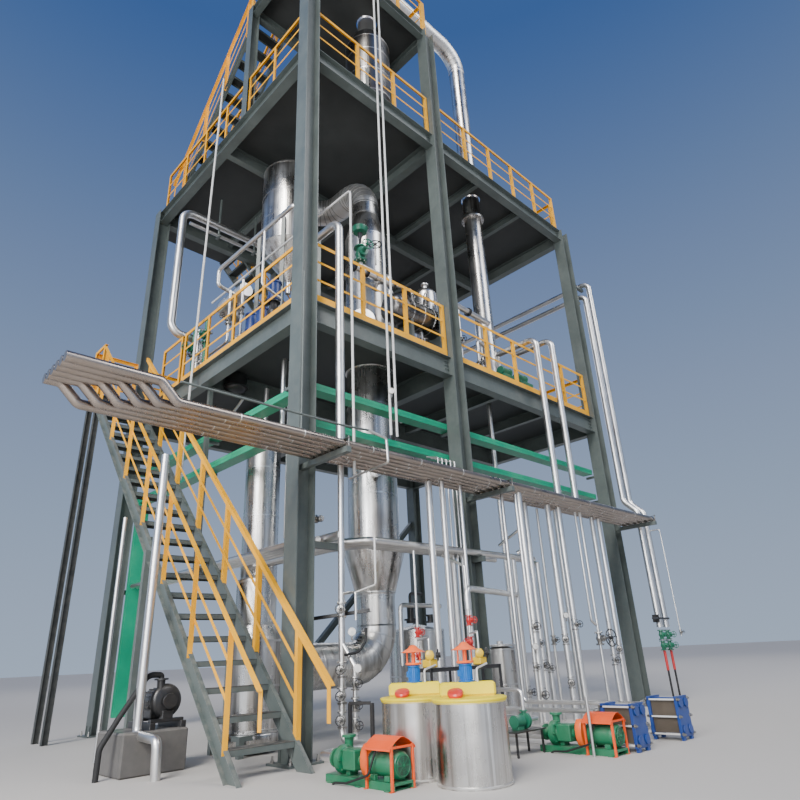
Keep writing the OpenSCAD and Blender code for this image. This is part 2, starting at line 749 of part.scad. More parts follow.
module agitators() {
  color([0.05, 0.35, 0.65])
    for (p = dose_at) translate(p + [80, 80, dose_h + 150]) {
      cylinder(h = 190, d = 130);
      translate([0, 0, 190]) cylinder(h = 22, d = 180);
      translate([0, 0, 212]) cylinder(h = 90, d = 70);
      translate([0, 0, 302]) cylinder(h = 80, d1 = 270, d2 = 60);
    }
}

module pumps() {
  color([0.08, 0.4, 0.25])
    for (p = pump_at) translate(p) {
      translate([-125, 0, 0]) cube([250, pump_l, 70]);
      translate([-90, 60, 60]) cube([180, 300, 80]);
      translate([-80, 560, 60]) cube([160, 260, 240]);
      for (c = [[0, 400, 250], [390, 180, 80], [810, 110, 270], [910, pump_l - 910, 110]])
        translate([0, c[0], pump_z]) rotate([-90, 0, 0]) cylinder(h = c[1], d = c[2]);
      translate([0, 865, pump_z]) cylinder(h = 230, d = 90);
    }
}

module pump_hoods() {
  r = 320;
  color([0.85, 0.3, 0.1])
    for (p = pump_at) translate(p) {
      translate([0, 380, 440 - r]) rotate([90, 0, 0]) linear_extrude(380) difference() {
        circle(r = r);
        circle(r = r - 6);
        translate([-r, -r - 70]) square([2 * r, 2 * r]);
      }
      for (a = [-150 - fit, 125 + fit]) for (b = [0, 355]) translate([a, b, 0]) cube([25, 25, 395]);
    }
}

module exchangers() {
  color([0.42, 0.38, 0.33])
    for (p = cool_at) translate(p + [-130, 40, 90]) cube([260, 330, 370]);
}

module exchanger_frames() {
  color([0.1, 0.25, 0.5])
    for (p = cool_at) translate(p) {
      for (y = [0, 370]) {
        translate([-160, y, 40]) cube([320, 40, 470]);
        translate([-60, y, 0]) cube([120, 40, 40]);
      }
      translate([-15, 40, 465]) cube([30, 330, 30]);
    }
}

columns();
base_plates();
top_posts();
beams_1();
deck_1();
beams_2();
deck_2();
beams_3();
deck_3();
rails_1_front();
rails_1_left();
rails_1_rear();
rails_2_front();
rails_2_left();
rails_2_rear();
rails_3();
stair_1();
treads_1();
stair_1_rails();
landing_1();
stair_2();
treads_2();
stair_2_rails();
landings_2();
stair_3();
treads_3();
stair_3_rails();
main_column();
main_head();
main_foot();
vapour_duct();
separator();
main_lugs();
separator_legs();
condenser();
condenser_legs();
slim_column();
top_duct();
receiver();
sump_tank();
tank_stand();
rear_tank();
small_tank();
pipe_rack();
rack_bearers();
ground_header();
pipe_arms();
trays();
tray_arms();
front_risers();
left_risers();
right_risers();
downcomers();
dosing_tanks();
dosing_lids();
agitators();
pumps();
pump_hoods();
exchangers();
exchanger_frames();
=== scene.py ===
import bpy, math
from mathutils import Matrix, Vector


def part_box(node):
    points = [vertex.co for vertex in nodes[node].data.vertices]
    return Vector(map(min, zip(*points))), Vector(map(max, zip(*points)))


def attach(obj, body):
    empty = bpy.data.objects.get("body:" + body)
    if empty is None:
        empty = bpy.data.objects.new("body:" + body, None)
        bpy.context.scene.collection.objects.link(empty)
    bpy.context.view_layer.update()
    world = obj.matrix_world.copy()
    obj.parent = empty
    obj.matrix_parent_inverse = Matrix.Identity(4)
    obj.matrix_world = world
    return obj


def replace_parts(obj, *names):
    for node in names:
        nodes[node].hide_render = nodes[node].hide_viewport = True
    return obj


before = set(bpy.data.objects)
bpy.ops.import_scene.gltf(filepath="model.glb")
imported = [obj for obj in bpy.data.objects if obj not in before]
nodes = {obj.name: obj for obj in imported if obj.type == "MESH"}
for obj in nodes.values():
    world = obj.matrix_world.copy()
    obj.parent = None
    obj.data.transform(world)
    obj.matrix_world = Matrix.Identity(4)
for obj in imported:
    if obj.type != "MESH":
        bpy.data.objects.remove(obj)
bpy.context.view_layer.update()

bpy.ops.object.select_all(action="DESELECT")


# The ground under the plant and the studio round it. Neither belongs to the
# plant: a pale plane out to the horizon, a veiled sun and five soft lamps.
bpy.ops.mesh.primitive_plane_add(size=900, location=(0, 0, 0))
floor = bpy.context.object
floor.name = "floor"
pale = bpy.data.materials.new("pale_floor")
pale.use_nodes = True
pale.node_tree.nodes["Principled BSDF"].inputs["Base Color"].default_value = (0.48, 0.455, 0.42, 1)
pale.node_tree.nodes["Principled BSDF"].inputs["Roughness"].default_value = 0.85
floor.data.materials.append(pale)
world = bpy.data.worlds.new("studio")
bpy.context.scene.world = world
world.use_nodes = True
sky = world.node_tree.nodes["Background"]
place = world.node_tree.nodes.new("ShaderNodeTexCoord")
apart = world.node_tree.nodes.new("ShaderNodeSeparateXYZ")
shade = world.node_tree.nodes.new("ShaderNodeValToRGB")
around = world.node_tree.nodes.new("ShaderNodeTexGradient")
around.gradient_type = "RADIAL"
cards = world.node_tree.nodes.new("ShaderNodeValToRGB")
blend = world.node_tree.nodes.new("ShaderNodeMix")
blend.data_type, blend.blend_type = "RGBA", "MULTIPLY"
blend.inputs[0].default_value = 1
link = world.node_tree.links.new
link(place.outputs["Generated"], apart.inputs[0])
link(apart.outputs["Z"], shade.inputs["Fac"])
link(place.outputs["Generated"], around.inputs["Vector"])
link(around.outputs["Color"], cards.inputs["Fac"])
link(shade.outputs["Color"], blend.inputs[6])
link(cards.outputs["Color"], blend.inputs[7])
link(blend.outputs[2], sky.inputs["Color"])
shade.color_ramp.elements[0].color = (0.50, 0.62, 0.80, 1)
shade.color_ramp.elements[1].color = (0.06, 0.15, 0.42, 1)
shade.color_ramp.elements[1].position = 0.8
for spot, value in ((0.0, 0.45), (0.06, 2.4), (0.12, 0.25), (0.19, 0.35), (0.25, 2.6), (0.32, 0.45),
                    (0.38, 0.30), (0.46, 0.9), (0.78, 0.9), (0.86, 1.8), (0.93, 0.35)):
    stop = cards.color_ramp.elements.new(spot)
    stop.color = (value, value, value, 1)
cards.color_ramp.elements[0].color = cards.color_ramp.elements[-1].color = (0.45, 0.45, 0.45, 1)
sky.inputs["Strength"].default_value = 0.86
bpy.ops.object.light_add(type="SUN", location=(-20, -8, 25))
sun = bpy.context.object
sun.rotation_euler = Vector((-1, -0.55, 1.05)).to_track_quat("Z", "Y").to_euler()
sun.data.energy, sun.data.angle, sun.data.color = 2.4, 0.3, (1.0, 0.96, 0.90)
lamps = (((16, -30, 34), (0.86, 0, 0.50), 20, 7600), ((-30, -10, 22), (1.1, 0, -1.2), 22, 2600),
    ((30, 30, 30), (0.9, 0, 2.4), 22, 3600), ((-13, -15, 5), (1.40, 0, -0.76), 9, 1100), ((-13, -5, 7.5),
    (1.35, 0, -1.18), 8, 2200))
for spot, turn, size, watt in lamps:
    bpy.ops.object.light_add(type="AREA", location=spot, rotation=turn)
    lamp = bpy.context.object
    lamp.data.size = size
    lamp.data.energy = watt


# The camera stands on the ground off the near corner and looks up at it. Its
# place was solved from the straight edges of the frame.
eye = bpy.data.cameras.new("eye")
viewer = bpy.data.objects.new("eye", eye)
bpy.context.scene.collection.objects.link(viewer)
bpy.context.scene.camera = viewer
yaw, pitch, roll = math.radians(45.25), math.radians(22.77), -0.0474
ahead = Vector((math.cos(pitch) * math.cos(yaw), math.cos(pitch) * math.sin(yaw), math.sin(pitch)))
side = Vector((math.sin(yaw), -math.cos(yaw), 0))
over = side.cross(ahead)
right = side * math.cos(roll) + over * math.sin(roll)
above = over * math.cos(roll) - side * math.sin(roll)
stand = Matrix((right, above, -ahead)).transposed().to_4x4()
stand.translation = Vector((-4.9163, -7.0503, 1.1364))
viewer.matrix_world = stand
eye.sensor_width = 36
eye.lens = 27.53
eye.clip_end = 2000


# Frame steel: hot rolled H columns and beams, blasted and painted slate green.
# The paint is a little blotchy, with pale dust low down and faint run marks.
class Wire:
    def __init__(self, finish, socket):
        self.finish, self.socket = finish, socket

    def sum(self, kind, first, second):
        return self.finish.node("Math", {"operation": kind}, {0: first, 1: second})

    def __add__(self, other): return self.sum("ADD", self, other)
    def __radd__(self, other): return self.sum("ADD", other, self)
    def __sub__(self, other): return self.sum("SUBTRACT", self, other)
    def __rsub__(self, other): return self.sum("SUBTRACT", other, self)
    def __mul__(self, other): return self.sum("MULTIPLY", self, other)
    def __rmul__(self, other): return self.sum("MULTIPLY", other, self)
    def __truediv__(self, other): return self.sum("DIVIDE", self, other)
    def __gt__(self, other): return self.sum("GREATER_THAN", self, other)
    def __mod__(self, other): return self.sum("FLOORED_MODULO", self, other)
    def __abs__(self): return self.sum("ABSOLUTE", self, 0)


class Finish:
    def __init__(self, name, colour, rough, metal=0.0, **extra):
        self.material = bpy.data.materials.new(name)
        self.material.use_nodes = True
        self.tree = self.material.node_tree
        self.shader = self.tree.nodes["Principled BSDF"]
        self.set(Base_Color=(*colour, 1), Roughness=rough, Metallic=metal, **extra)
        self.place = self.node("TexCoord", {}, {}, "Object")

    def node(self, kind, settings, inputs, output=0):
        made = self.tree.nodes.new("ShaderNode" + kind)
        for key, value in settings.items():
            if key == "stops":
                for i, (at, colour) in enumerate(value):
                    stop = made.color_ramp.elements[i] if i < 2 else made.color_ramp.elements.new(at)
                    stop.position, stop.color = at, (*colour, 1)
            else:
                setattr(made, key, value)
        for key, value in inputs.items():
            if isinstance(value, Wire):
                self.tree.links.new(value.socket, made.inputs[key])
            else:
                made.inputs[key].default_value = value
        return Wire(self, made.outputs[output])

    def set(self, **inputs):
        for key, value in inputs.items():
            socket = self.shader.inputs[key.replace("_", " ")]
            if isinstance(value, Wire):
                self.tree.links.new(value.socket, socket)
            else:
                socket.default_value = value

    def noise(self, scale, detail=4, stretch=(1, 1, 1), rough=0.55):
        spot = self.node("Mapping", {}, {"Vector": self.place, "Scale": stretch})
        settings = {"Vector": spot, "Scale": scale, "Detail": detail, "Roughness": rough}
        return self.node("TexNoise", {}, settings, "Fac")

    def band(self, mask, low, high):
        return self.node("MapRange", {}, {"Value": mask, "From Min": low, "From Max": high})

    def mix(self, mask, first, second):
        first, second = ((*c, 1) if isinstance(c, tuple) else c for c in (first, second))
        return self.node("Mix", {"data_type": "RGBA"}, {0: mask, 6: first, 7: second}, 2)

    def bump(self, height, depth, strength=1.0):
        self.set(Normal=self.node("Bump", {}, {"Height": height, "Distance": depth, "Strength": strength}))

    def on(self, *names):
        for name in names:
            mesh = (nodes[name] if name in nodes else bpy.data.objects[name]).data
            mesh.materials.clear()
            mesh.materials.append(self.material)
        return self


def paint(name, colour, rough, wear=0.0, dust=0.25, shine=0.0):
    finish = Finish(name, colour, rough, 0.0, Coat_Weight=shine, Coat_Roughness=0.2)
    blotch = finish.band(finish.noise(1.3, 5), 0.3, 0.7)
    dark, light = tuple(c * 0.82 for c in colour), tuple(min(1, c * 1.15 + 0.01) for c in colour)
    tone = finish.mix(blotch, dark, light)
    runs = finish.band(finish.noise(6, 4, (1, 1, 0.05)), 0.55, 0.75)
    tone = finish.mix(runs * 0.35 * blotch, tone, tuple(c * 0.55 for c in colour))
    up = finish.node("SeparateXYZ", {}, {0: finish.node("NewGeometry", {}, {}, "Normal")}, "Z")
    grime = finish.band(finish.noise(9, 6), 0.4, 0.65) * finish.band(up, -0.2, 1.0) * dust
    tone = finish.mix(grime, tone, (0.42, 0.38, 0.32))
    if wear:
        chips = finish.band(finish.noise(24, 8, rough=0.7), 0.70 - wear * 0.1, 0.71)
        tone = finish.mix(chips * wear, tone, (0.16, 0.12, 0.09))
    finish.set(Base_Color=tone, Roughness=rough + (blotch - 0.5) * 0.14 + grime * 0.25)
    finish.bump(finish.noise(160, 2) * 0.6 + finish.noise(14, 3) * 0.4, 0.0006, 0.6)
    return finish


slate = paint("slate_paint", (0.085, 0.105, 0.099), 0.45, 0.25, shine=0.2)
slate.on("columns", "base_plates", "top_posts", "beams_1", "beams_2", "beams_3", "rack_bearers",
    "pipe_arms", "tray_arms", "stair_1", "stair_2", "stair_3", "tank_stand", "separator_legs",
    "condenser_legs")


# Deck plates, landings and treads: steel plate laid on the beams and welded down, with pale dust
# where people walk. The near-black colour is dark paint deepened with painted shade, for the shade under the
# decks.
deck = paint("deck_paint_and_shade", (0.03, 0.034, 0.033), 0.6, 0.1, 0.4)
deck.on("deck_1", "deck_2", "deck_3", "landing_1", "landings_2", "treads_1", "treads_2", "treads_3")


# Guard rails and stair rails: angle posts, top rail, two mid rails and a toe
# plate, welded up and painted golden yellow.
golden = paint("golden_paint", (0.84, 0.39, 0.0), 0.6, 0.4, 0.0)
golden.on("rails_1_front", "rails_1_left", "rails_1_rear", "rails_2_front", "rails_2_left", "rails_2_rear",
    "rails_3", "stair_1_rails", "stair_2_rails", "stair_3_rails")


# Bright cladding on vessels and ducts: thin stainless sheet rolled round the
# insulation, with a light grain, dents, water marks and long soft dark bands of painted reflection.
def tint(colour, *factors):
    return tuple(c * f for c, f in zip(colour, factors * (3 // len(factors))))


def bright(name, colour, rough, grain=0.1, dents=0.002, marks=0.3, painted_reflection=0.0):
    finish = Finish(name, colour, rough, 1.0)
    cloud = finish.band(finish.noise(2.2, 6), 0.32, 0.68)
    brush = finish.noise(38, 3, (1, 1, 0.04))
    flutes_and_reflections = finish.noise(7, 3, (1, 1, 0.03))
    runs = finish.band(finish.noise(5, 5, (1, 1, 0.08)), 0.5, 0.8) * marks
    tone = finish.mix(cloud, tint(colour, 0.85), colour)
    # The dark vertical bands mixed into the colour here are painted reflection; the same noise also bumps the
    # sheet.
    tone = finish.mix(finish.band(flutes_and_reflections, 0.46, 0.64) * painted_reflection, tone, tint(colour, 0.36, 0.33, 0.30))
    tone = finish.mix(runs, tone, tint(colour, 0.66, 0.6, 0.5))
    finish.set(Base_Color=tone, Roughness=rough + (cloud - 0.5) * 0.12 + runs * 0.25 + (brush - 0.5) * grain)
    finish.bump(finish.noise(1.1, 3) + flutes_and_reflections * 0.6 + brush * 0.03, dents * 10, 0.6)
    return finish


cladding = bright("clad_sheet", (0.74, 0.73, 0.71), 0.28, painted_reflection=0.8)
cladding.on("main_column", "main_head", "main_foot", "separator", "slim_column", "receiver", "sump_tank",
    "rear_tank", "small_tank", "dosing_tanks")
duct_sheet = bright("duct_sheet", (0.84, 0.83, 0.81), 0.44)
duct_sheet.on("vapour_duct", "top_duct")
# The shell's dark grey base colour is painted reflection, standing in for the dark surroundings it mirrors.
shell_painted_dark = bright("shell_painted_dark_reflection", (0.24, 0.235, 0.23), 0.30, marks=0.5, painted_reflection=0.5)
shell_painted_dark.on("condenser")
steel_pipe = bright("bright_pipe", (0.82, 0.81, 0.79), 0.36, 0.06, 0.0004, 0.2)
steel_pipe.on("front_risers", "left_risers", "right_risers", "downcomers", "ground_header", "main_lugs")


# Feet of the columns: gusset plates welded between flange and base plate, and
# four anchor bolts with nuts and washers set into the ground slab.
def choose(piece, test):
    bpy.context.tool_settings.mesh_select_mode = (False, False, True)
    for face in piece.data.polygons:
        face.select = test(face)
    bpy.ops.object.mode_set(mode="EDIT")


def bar(low, high, edge=0.002):
    size = [b - a for a, b in zip(low, high)]
    bpy.ops.mesh.primitive_cube_add(size=1, location=[(a + b) / 2 for a, b in zip(low, high)], scale=size)
    bpy.ops.object.transform_apply(location=True, scale=True)
    bpy.ops.object.mode_set(mode="EDIT")
    bpy.ops.mesh.bevel(offset=min(edge, min(size) * 0.4), segments=1, affect="EDGES")
    bpy.ops.object.mode_set(mode="OBJECT")
    return bpy.context.object


def turned(steps, sides=24):
    high, wide = steps[0]
    bpy.ops.mesh.primitive_circle_add(vertices=sides, radius=wide, fill_type="NGON", location=(0, 0, high))
    bpy.ops.object.transform_apply(location=True)
    bpy.ops.object.mode_set(mode="EDIT")
    for next_high, next_wide in steps[1:]:
        bpy.ops.mesh.extrude_region_move(TRANSFORM_OT_translate={"value": (0, 0, next_high - high)})
        bpy.ops.transform.resize(value=(next_wide / wide, next_wide / wide, 1))
        high, wide = next_high, next_wide
    bpy.ops.mesh.select_all(action="SELECT")
    bpy.ops.mesh.normals_make_consistent(inside=False)
    bpy.ops.object.mode_set(mode="OBJECT")
    bpy.ops.object.shade_smooth_by_angle(angle=0.7)
    return bpy.context.object


def dress(piece, finish):
    piece.data.materials.clear()
    piece.data.materials.append(finish.material)
    return piece


def put(piece, spot, along=(0, 0, 1), spin=0.0, size=1.0):
    turn = Vector((0, 0, 1)).rotation_difference(Vector(along)).to_matrix().to_4x4()
    spun = Matrix.Rotation(spin, 4, "Z") @ Matrix.Scale(size, 4)
    piece.matrix_world = Matrix.Translation(spot) @ turn @ spun
    return piece


def copies(shape, places):
    made = []
    for place in places:
        twin = shape.copy()
        twin.data = shape.data.copy()
        bpy.context.scene.collection.objects.link(twin)
        made.append(put(twin, *place))
    bpy.data.objects.remove(shape)
    return made


def one(parts):
    bpy.ops.object.select_all(action="DESELECT")
    for part in parts:
        part.select_set(True)
    bpy.context.view_layer.objects.active = parts[0]
    bpy.ops.object.transform_apply(location=True, rotation=True, scale=True)
    if len(parts) > 1:
        bpy.ops.object.join()
    bpy.ops.object.select_all(action="DESELECT")
    return parts[0]


def weld(name, parts, finish=None):
    if finish:
        for part in parts:
            dress(part, finish)
    piece = one(parts)
    piece.name = piece.data.name = name
    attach(piece, "root")
    return piece


def gusset(reach, high, thick, tip=0.15):
    piece = bar((0, -thick / 2, 0), (reach, thick / 2, high), 0.001)
    choose(piece, lambda face: face.normal.z > 0.9)
    bpy.ops.transform.resize(value=(tip, 1, 1), center_override=(0, 0, high))
    bpy.ops.object.mode_set(mode="OBJECT")
    return piece


def bolt(across, tall, shank):
    return turned([(-tall * 0.25, across * 0.75), (0, across * 0.75), (0.0005, across * 0.5),
        (tall, across * 0.5), (tall + 0.001, across * 0.3), (tall + shank, across * 0.27)], 6)


up = Vector((0, 0, 1))
foot_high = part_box("base_plates")[1]
plate_side = 0.5
grid_x = (0.0, 3.6, foot_high[0] - plate_side / 2)
grid_y = (0.0, foot_high[1] - plate_side / 2)
feet = [(x, y, foot_high[2]) for x in grid_x for y in grid_y]
quarters = [(s, t) for s in (1, -1) for t in (1, -1)]
weld("foot_gussets", copies(gusset(0.09, 0.16, 0.012), [((x + s * 0.15, y + t * 0.09, z), up,
    0 if s > 0 else math.pi) for x, y, z in feet for s, t in quarters]), slate)
steel = bright("bolt_steel", (0.42, 0.41, 0.39), 0.4, 0.05, 0.0002, 0.6)
anchors = [((x + s * 0.2, y + t * 0.19, z),) for x, y, z in feet for s, t in quarters]
weld("anchor_bolts", copies(bolt(0.046, 0.03, 0.045), anchors), steel)


# Beam joints: stiffener plates welded inside each column under the beams, and
# end plates with two rows of bolts where the beams meet the columns.
levels = [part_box(tag)[1][2] for tag in ("beams_1", "beams_2")]
joints = []
for level, depth in zip(levels, (0.40, 0.34)):
    z = level - depth + 0.002
    for x, y, _ in feet:
        inner = y + (0.078 if y < 1 else -0.078)
        joints.append(bar((x - 0.13, inner - 0.07, z), (x + 0.13, inner + 0.07, z + 0.012), 0.001))
weld("column_stiffeners", joints, slate)
web, bolt_gap, row_gap = 0.006, 0.07, 0.08
beam_ends = ((grid_x[0], 1), (grid_x[1], 1), (grid_x[1], -1), (grid_x[2], -1))
splice = []
for level in levels:
    heights = [level - row_gap * (j + 1) for j in range(4)]
    across = [x + s * (0.17 + i * bolt_gap) for x, s in beam_ends for i in (0, 1)]
    splice += [((x, y - web, z), (0, -1, 0)) for y in grid_y for x in across for z in heights]
    splice += [((x - web, y, z), (-1, 0, 0)) for x in grid_x for y in (0.2, 0.27, 6.33, 6.4) for z in heights]
weld("web_bolts", copies(bolt(0.032, 0.018, 0.012), splice), slate)


# Stairs: each tread is folded plate with a front and a back lip and a small
# triangular gusset at both ends; channel flanges run along the stringers.
def plank(a, b, wide, thick, out):
    a, b, out = Vector(a), Vector(b), Vector(out)
    along = (b - a).normalized()
    across = along.cross(out).normalized()
    piece = bar((-wide / 2, -thick / 2, 0), (wide / 2, thick / 2, (b - a).length), 0.0015)
    turn = Matrix((across, along.cross(across), along)).transposed().to_4x4()
    piece.matrix_world = Matrix.Translation(a) @ turn
    return piece


flights = (("treads_1", (-0.30, -0.742, 0), (0, 1, 0), (-1, 0, 0), 6.542, 22, 0.85),
    ("treads_2", (8.30, 6.72, 6.55), (-1, 0, 0), (0, 1, 0), 5.842, 20, 0.85),
    ("treads_3", (0.13, 6.05, 12.4), (0, -1, 0), (1, 0, 0), 3.592, 12, 0.75))
for tag, start, onward, sideways, rise, steps, wide in flights:
    start, onward, sideways = Vector(start), Vector(onward), Vector(sideways)
    stride = rise / steps
    lips, knees, flanges = [], [], []
    for i in range(1, steps):
        base = start + onward * (i * stride + 0.02) + up * (i * stride)
        for back in (0.004, 0.236):
            near = base + onward * back - up * 0.03
            lips.append(plank(near + sideways * 0.004, near + sideways * (wide - 0.004), 0.06, 0.006, onward))
        for end in (0.012, wide - 0.012):
            knees.append(base + sideways * end + onward * 0.03 - up * 0.001)
    weld(tag + "_lips", lips, slate)
    knee = gusset(0.2, 0.16, 0.006, 0.1)
    knee.data.transform(Matrix.Rotation(math.pi, 4, "X"))
    turn_to = math.atan2(onward.y, onward.x)
    weld(tag + "_gussets", copies(knee, [(spot, up, turn_to) for spot in knees]), slate)
    for end in (-0.035, wide + 0.035):
        for off in (0.010, 0.268):
            a = start + sideways * end + onward * off
            flanges.append(plank(a, a + (onward + up) * rise, 0.05, 0.009, onward - up))
    weld(tag + "_flanges", flanges, slate)


# Cladding joints: rolled stainless bands close the seams of the sheet jackets
# on vessels, and the elbows are made of short gores with a bead at each joint.
def band(radius, wide=0.03, proud=0.006, sides=32):
    half, slope = wide / 2, 0.003
    crest = radius + proud
    return turned([(-half, radius), (slope - half, crest), (half - slope, crest), (half, radius)], sides)


def gores(centre, first, last, bend, count):
    centre, first, last = Vector(centre), Vector(first), Vector(last)
    places = []
    for i in range(count + 1):
        turn_by = math.pi / 2 * i / count
        out = first * math.cos(turn_by) + last * math.sin(turn_by)
        places.append((centre + out * bend, last * math.cos(turn_by) - first * math.sin(turn_by)))
    return places


def middle(tag):
    low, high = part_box(tag)
    return (low[0] + high[0]) / 2, (low[1] + high[1]) / 2


def heading(degrees):
    return Vector((math.cos(math.radians(degrees)), math.sin(math.radians(degrees)), 0))


main_low, main_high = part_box("main_column")
main_x, main_y = middle("main_column")
main_r = (main_high[0] - main_low[0]) / 2
foot_r, foot_bend, foot_z = main_r * 0.73, 0.6, 1.06
trim = bright("band_steel", (0.66, 0.655, 0.64), 0.3, 0.05, 0.0002, 0.2)
shell_joints = (3.08, 3.95, 4.85, 5.75, 6.5, 7.4, 8.3, 9.1, 9.84)
seams = copies(band(main_r, 0.036), [((main_x, main_y, z),) for z in shell_joints])
foot_spots = [((main_x, main_y, z),) for z in (foot_z + foot_bend, 2.15)]
foot_spots += gores((main_x - foot_bend, main_y, foot_z + foot_bend), (1, 0, 0), (0, 0, -1), foot_bend, 5)
foot_spots += [((x, main_y, foot_z), (1, 0, 0)) for x in (1.9, 1.35, 0.8)]
seams += copies(band(foot_r, 0.03), foot_spots)
skirt = [(-0.02, main_r + 0.02), (0, main_r + 0.16), (0.012, main_r + 0.16), (0.012, main_r + 0.02)]
seams.append(put(turned(skirt, 40), (main_x, main_y, 6.56)))
for degrees in (200, 320, 80):
    out = heading(degrees)
    spot = Vector((main_x, main_y, 0)) + out * (main_r + 0.001)
    seams.append(plank(spot + up * 3.1, spot + up * 9.8, 0.04, 0.006, out))
weld("main_column_seams", seams, trim)
duct_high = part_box("vapour_duct")[1]
duct_r, elbow = 0.305, 0.622
duct_y, duct_z = duct_high[1] - duct_r, duct_high[2] - duct_r
weld("vapour_duct_seams", copies(band(duct_r, 0.022, 0.006), [((main_x, main_y, z),) for z in (10.52, 10.84)]
     + gores((main_x, main_y + elbow, duct_z - elbow), (0, -1, 0), up, elbow, 8)
     + gores((main_x - elbow, duct_y - elbow, duct_z), (1, 0, 0), (0, 1, 0), elbow, 7)), steel)
slim_low, slim_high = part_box("slim_column")
slim_x, slim_y = middle("slim_column")
slim_r = (slim_high[0] - slim_low[0]) / 2
top_low, top_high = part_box("top_duct")
top_z = top_high[2] - slim_r
cond_x = top_low[0] + slim_r
leaf, groove = slim_r + 0.075, slim_r + 0.01
flange = turned([(-0.045, slim_r + 0.07), (-0.006, leaf), (-0.006, groove), (0.006, groove), (0.006, leaf),
    (0.045, slim_r + 0.07)], 40)
rings = [Vector((slim_x, slim_y, z)) for z in (6.62, 11.75)] + [Vector((cond_x, slim_y, 15.42))]
weld("slim_column_flanges", copies(flange, [(spot,) for spot in rings]), trim)
studs = [(spot + heading(22.5 * i) * (slim_r + 0.045) + up * (s * 0.045), (0, 0, s)) for spot in rings
    for i in range(16) for s in (1, -1)]
weld("slim_column_bolts", copies(bolt(0.03, 0.02, 0.012), studs), steel)
elbow = slim_r * 3
weld("top_duct_seams", copies(band(slim_r, 0.025),
     gores((slim_x - elbow, slim_y, top_z - elbow), (1, 0, 0), up, elbow, 5)
     + gores((cond_x + elbow, slim_y, top_z - elbow), (-1, 0, 0), up, elbow, 5)
     + [((4.1, slim_y, top_z), (1, 0, 0))]), trim)
jackets = (("receiver", 0.32, (0.9, 1.8, 2.7, 3.6, 4.5, 4.95)), ("rear_tank", 0.54, (0.06, 0.8, 1.58)),
    ("small_tank", 0.27, (0.06, 0.6, 1.18)), ("separator", 0.64, (9.66, 10.3, 10.95, 11.72)),
    ("condenser", 0.535, (13.16, 13.85, 14.5, 14.95)), ("sump_tank", 0.40, (0.3, 0.85, 1.44)),
    ("sump_tank", 0.30, (1.68, 2.28)))
shells = []
for tag, radius, heights in jackets:
    shells += copies(band(radius, 0.03, 0.005, 40), [((*middle(tag), z),) for z in heights])
weld("vessel_seams", shells, trim)


# The long rack: six jacketed pipes side by side. The jackets are closed with
# narrow bands, and flat straps with bolts hold the pipes down on the bearers.
rack_pipe = bright("rack_pipe", (0.42, 0.36, 0.315), 0.28, 0.08, 0.0004, 0.4)
rack_pipe.on("pipe_rack")
rack_low, rack_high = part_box("pipe_rack")
rack_z, rack_gap, rack_r = 3.8, 0.134, 0.057
rows = [rack_high[1] - rack_r - i * rack_gap for i in range(6)]
rack_joints = (-1.7, -0.8, 0.35, 1.3, 2.25, 3.2, 4.2, 5.15, 6.1, 7.05, 8.0, 8.8)
closures = [((x + 0.13 * (i % 2), y, rack_z), (1, 0, 0)) for i, y in enumerate(rows) for x in rack_joints]
weld("rack_bands", copies(band(rack_r, 0.018, 0.003, 12), closures), trim)
straps = []
for x in grid_x:
    rear, front, top = rack_high[1], rack_low[1], rack_z + rack_r
    back, fore = (x, rear + 0.05, top + 0.004), (x, front - 0.05, top + 0.004)
    straps.append(dress(plank(back, fore, 0.05, 0.006, up), slate))
    for y in (rear + 0.035, front - 0.035):
        straps.append(dress(plank((x, y, rack_z - 0.06), (x, y, top + 0.03), 0.014, 0.014, (1, 0, 0)), steel))
weld("rack_straps", straps)


# Small lines: thin stainless tubes bent round their corners, for steam
# tracing, vents, sampling and cable conduit, clipped to frame and vessels.
def pipe(points, thick, bend=1.5, sides=2):
    corners = [Vector(p) for p in points]
    line = [corners[0]]
    for before, corner, after in zip(corners, corners[1:], corners[2:]):
        into, out = (corner - before).normalized(), (after - corner).normalized()
        reach = min(thick * bend * math.tan(into.angle(out) / 2), (corner - before).length * 0.48,
            (after - corner).length * 0.48)
        start, end = corner - into * reach, corner + out * reach
        for i in range(6):
            t = i / 5
            line.append(start * (1 - t) ** 2 + corner * 2 * t * (1 - t) + end * t ** 2)
    line.append(corners[-1])
    bpy.ops.curve.primitive_bezier_curve_add()
    tube = bpy.context.object
    tube.data.splines.clear()
    run = tube.data.splines.new("POLY")
    run.points.add(len(line) - 1)
    for point, place in zip(run.points, line):
        point.co = (*place, 1)
    tube.data.dimensions = "3D"
    tube.data.bevel_depth, tube.data.bevel_resolution, tube.data.use_fill_caps = thick / 2, sides, True
    bpy.ops.object.convert(target="MESH")
    bpy.ops.object.shade_smooth_by_angle(angle=0.9)
    return bpy.context.object


white = paint("tube_white", (0.62, 0.62, 0.60), 0.35, 0.0, 0.1, 0.3)
tracers = [pipe([(x, -0.14, low), (x, -0.14, 4.35), (x, 0.12, 4.42)], 0.028)
           for x, low in ((2.80, 0.35), (2.91, 0.45), (3.02, 0.55), (3.13, 0.35), (3.24, 0.45))]
weld("tracing_tubes", tracers, steel_pipe)
guide = [pipe([(x, -0.60, 4.3), (x, -0.60, 15.3), (x, -0.1, 15.5)], 0.042, 2) for x in (1.25, 1.38)]
guide.append(pipe([(0.50, -0.60, 3.55), (0.50, -0.60, 8.66), (0.49, 4.3, 8.72)], 0.042, 2))
guide.append(pipe([(0.47, -1.02, 2.60), (0.47, -1.02, 2.00), (0.47, -0.60, 1.94)], 0.026))
guide.append(pipe([(-0.20, 3.52, 4.3), (-0.20, 3.27, 14.3)], 0.05, 2))
weld("white_tubes", guide, white)
vent = [(0.30, 0.30, 8.62), (-0.05, 0.30, 8.62), (-0.05, 2.98, 8.67), (-0.05, 2.98, 8.3), (0.5, 3.1, 8.3)]
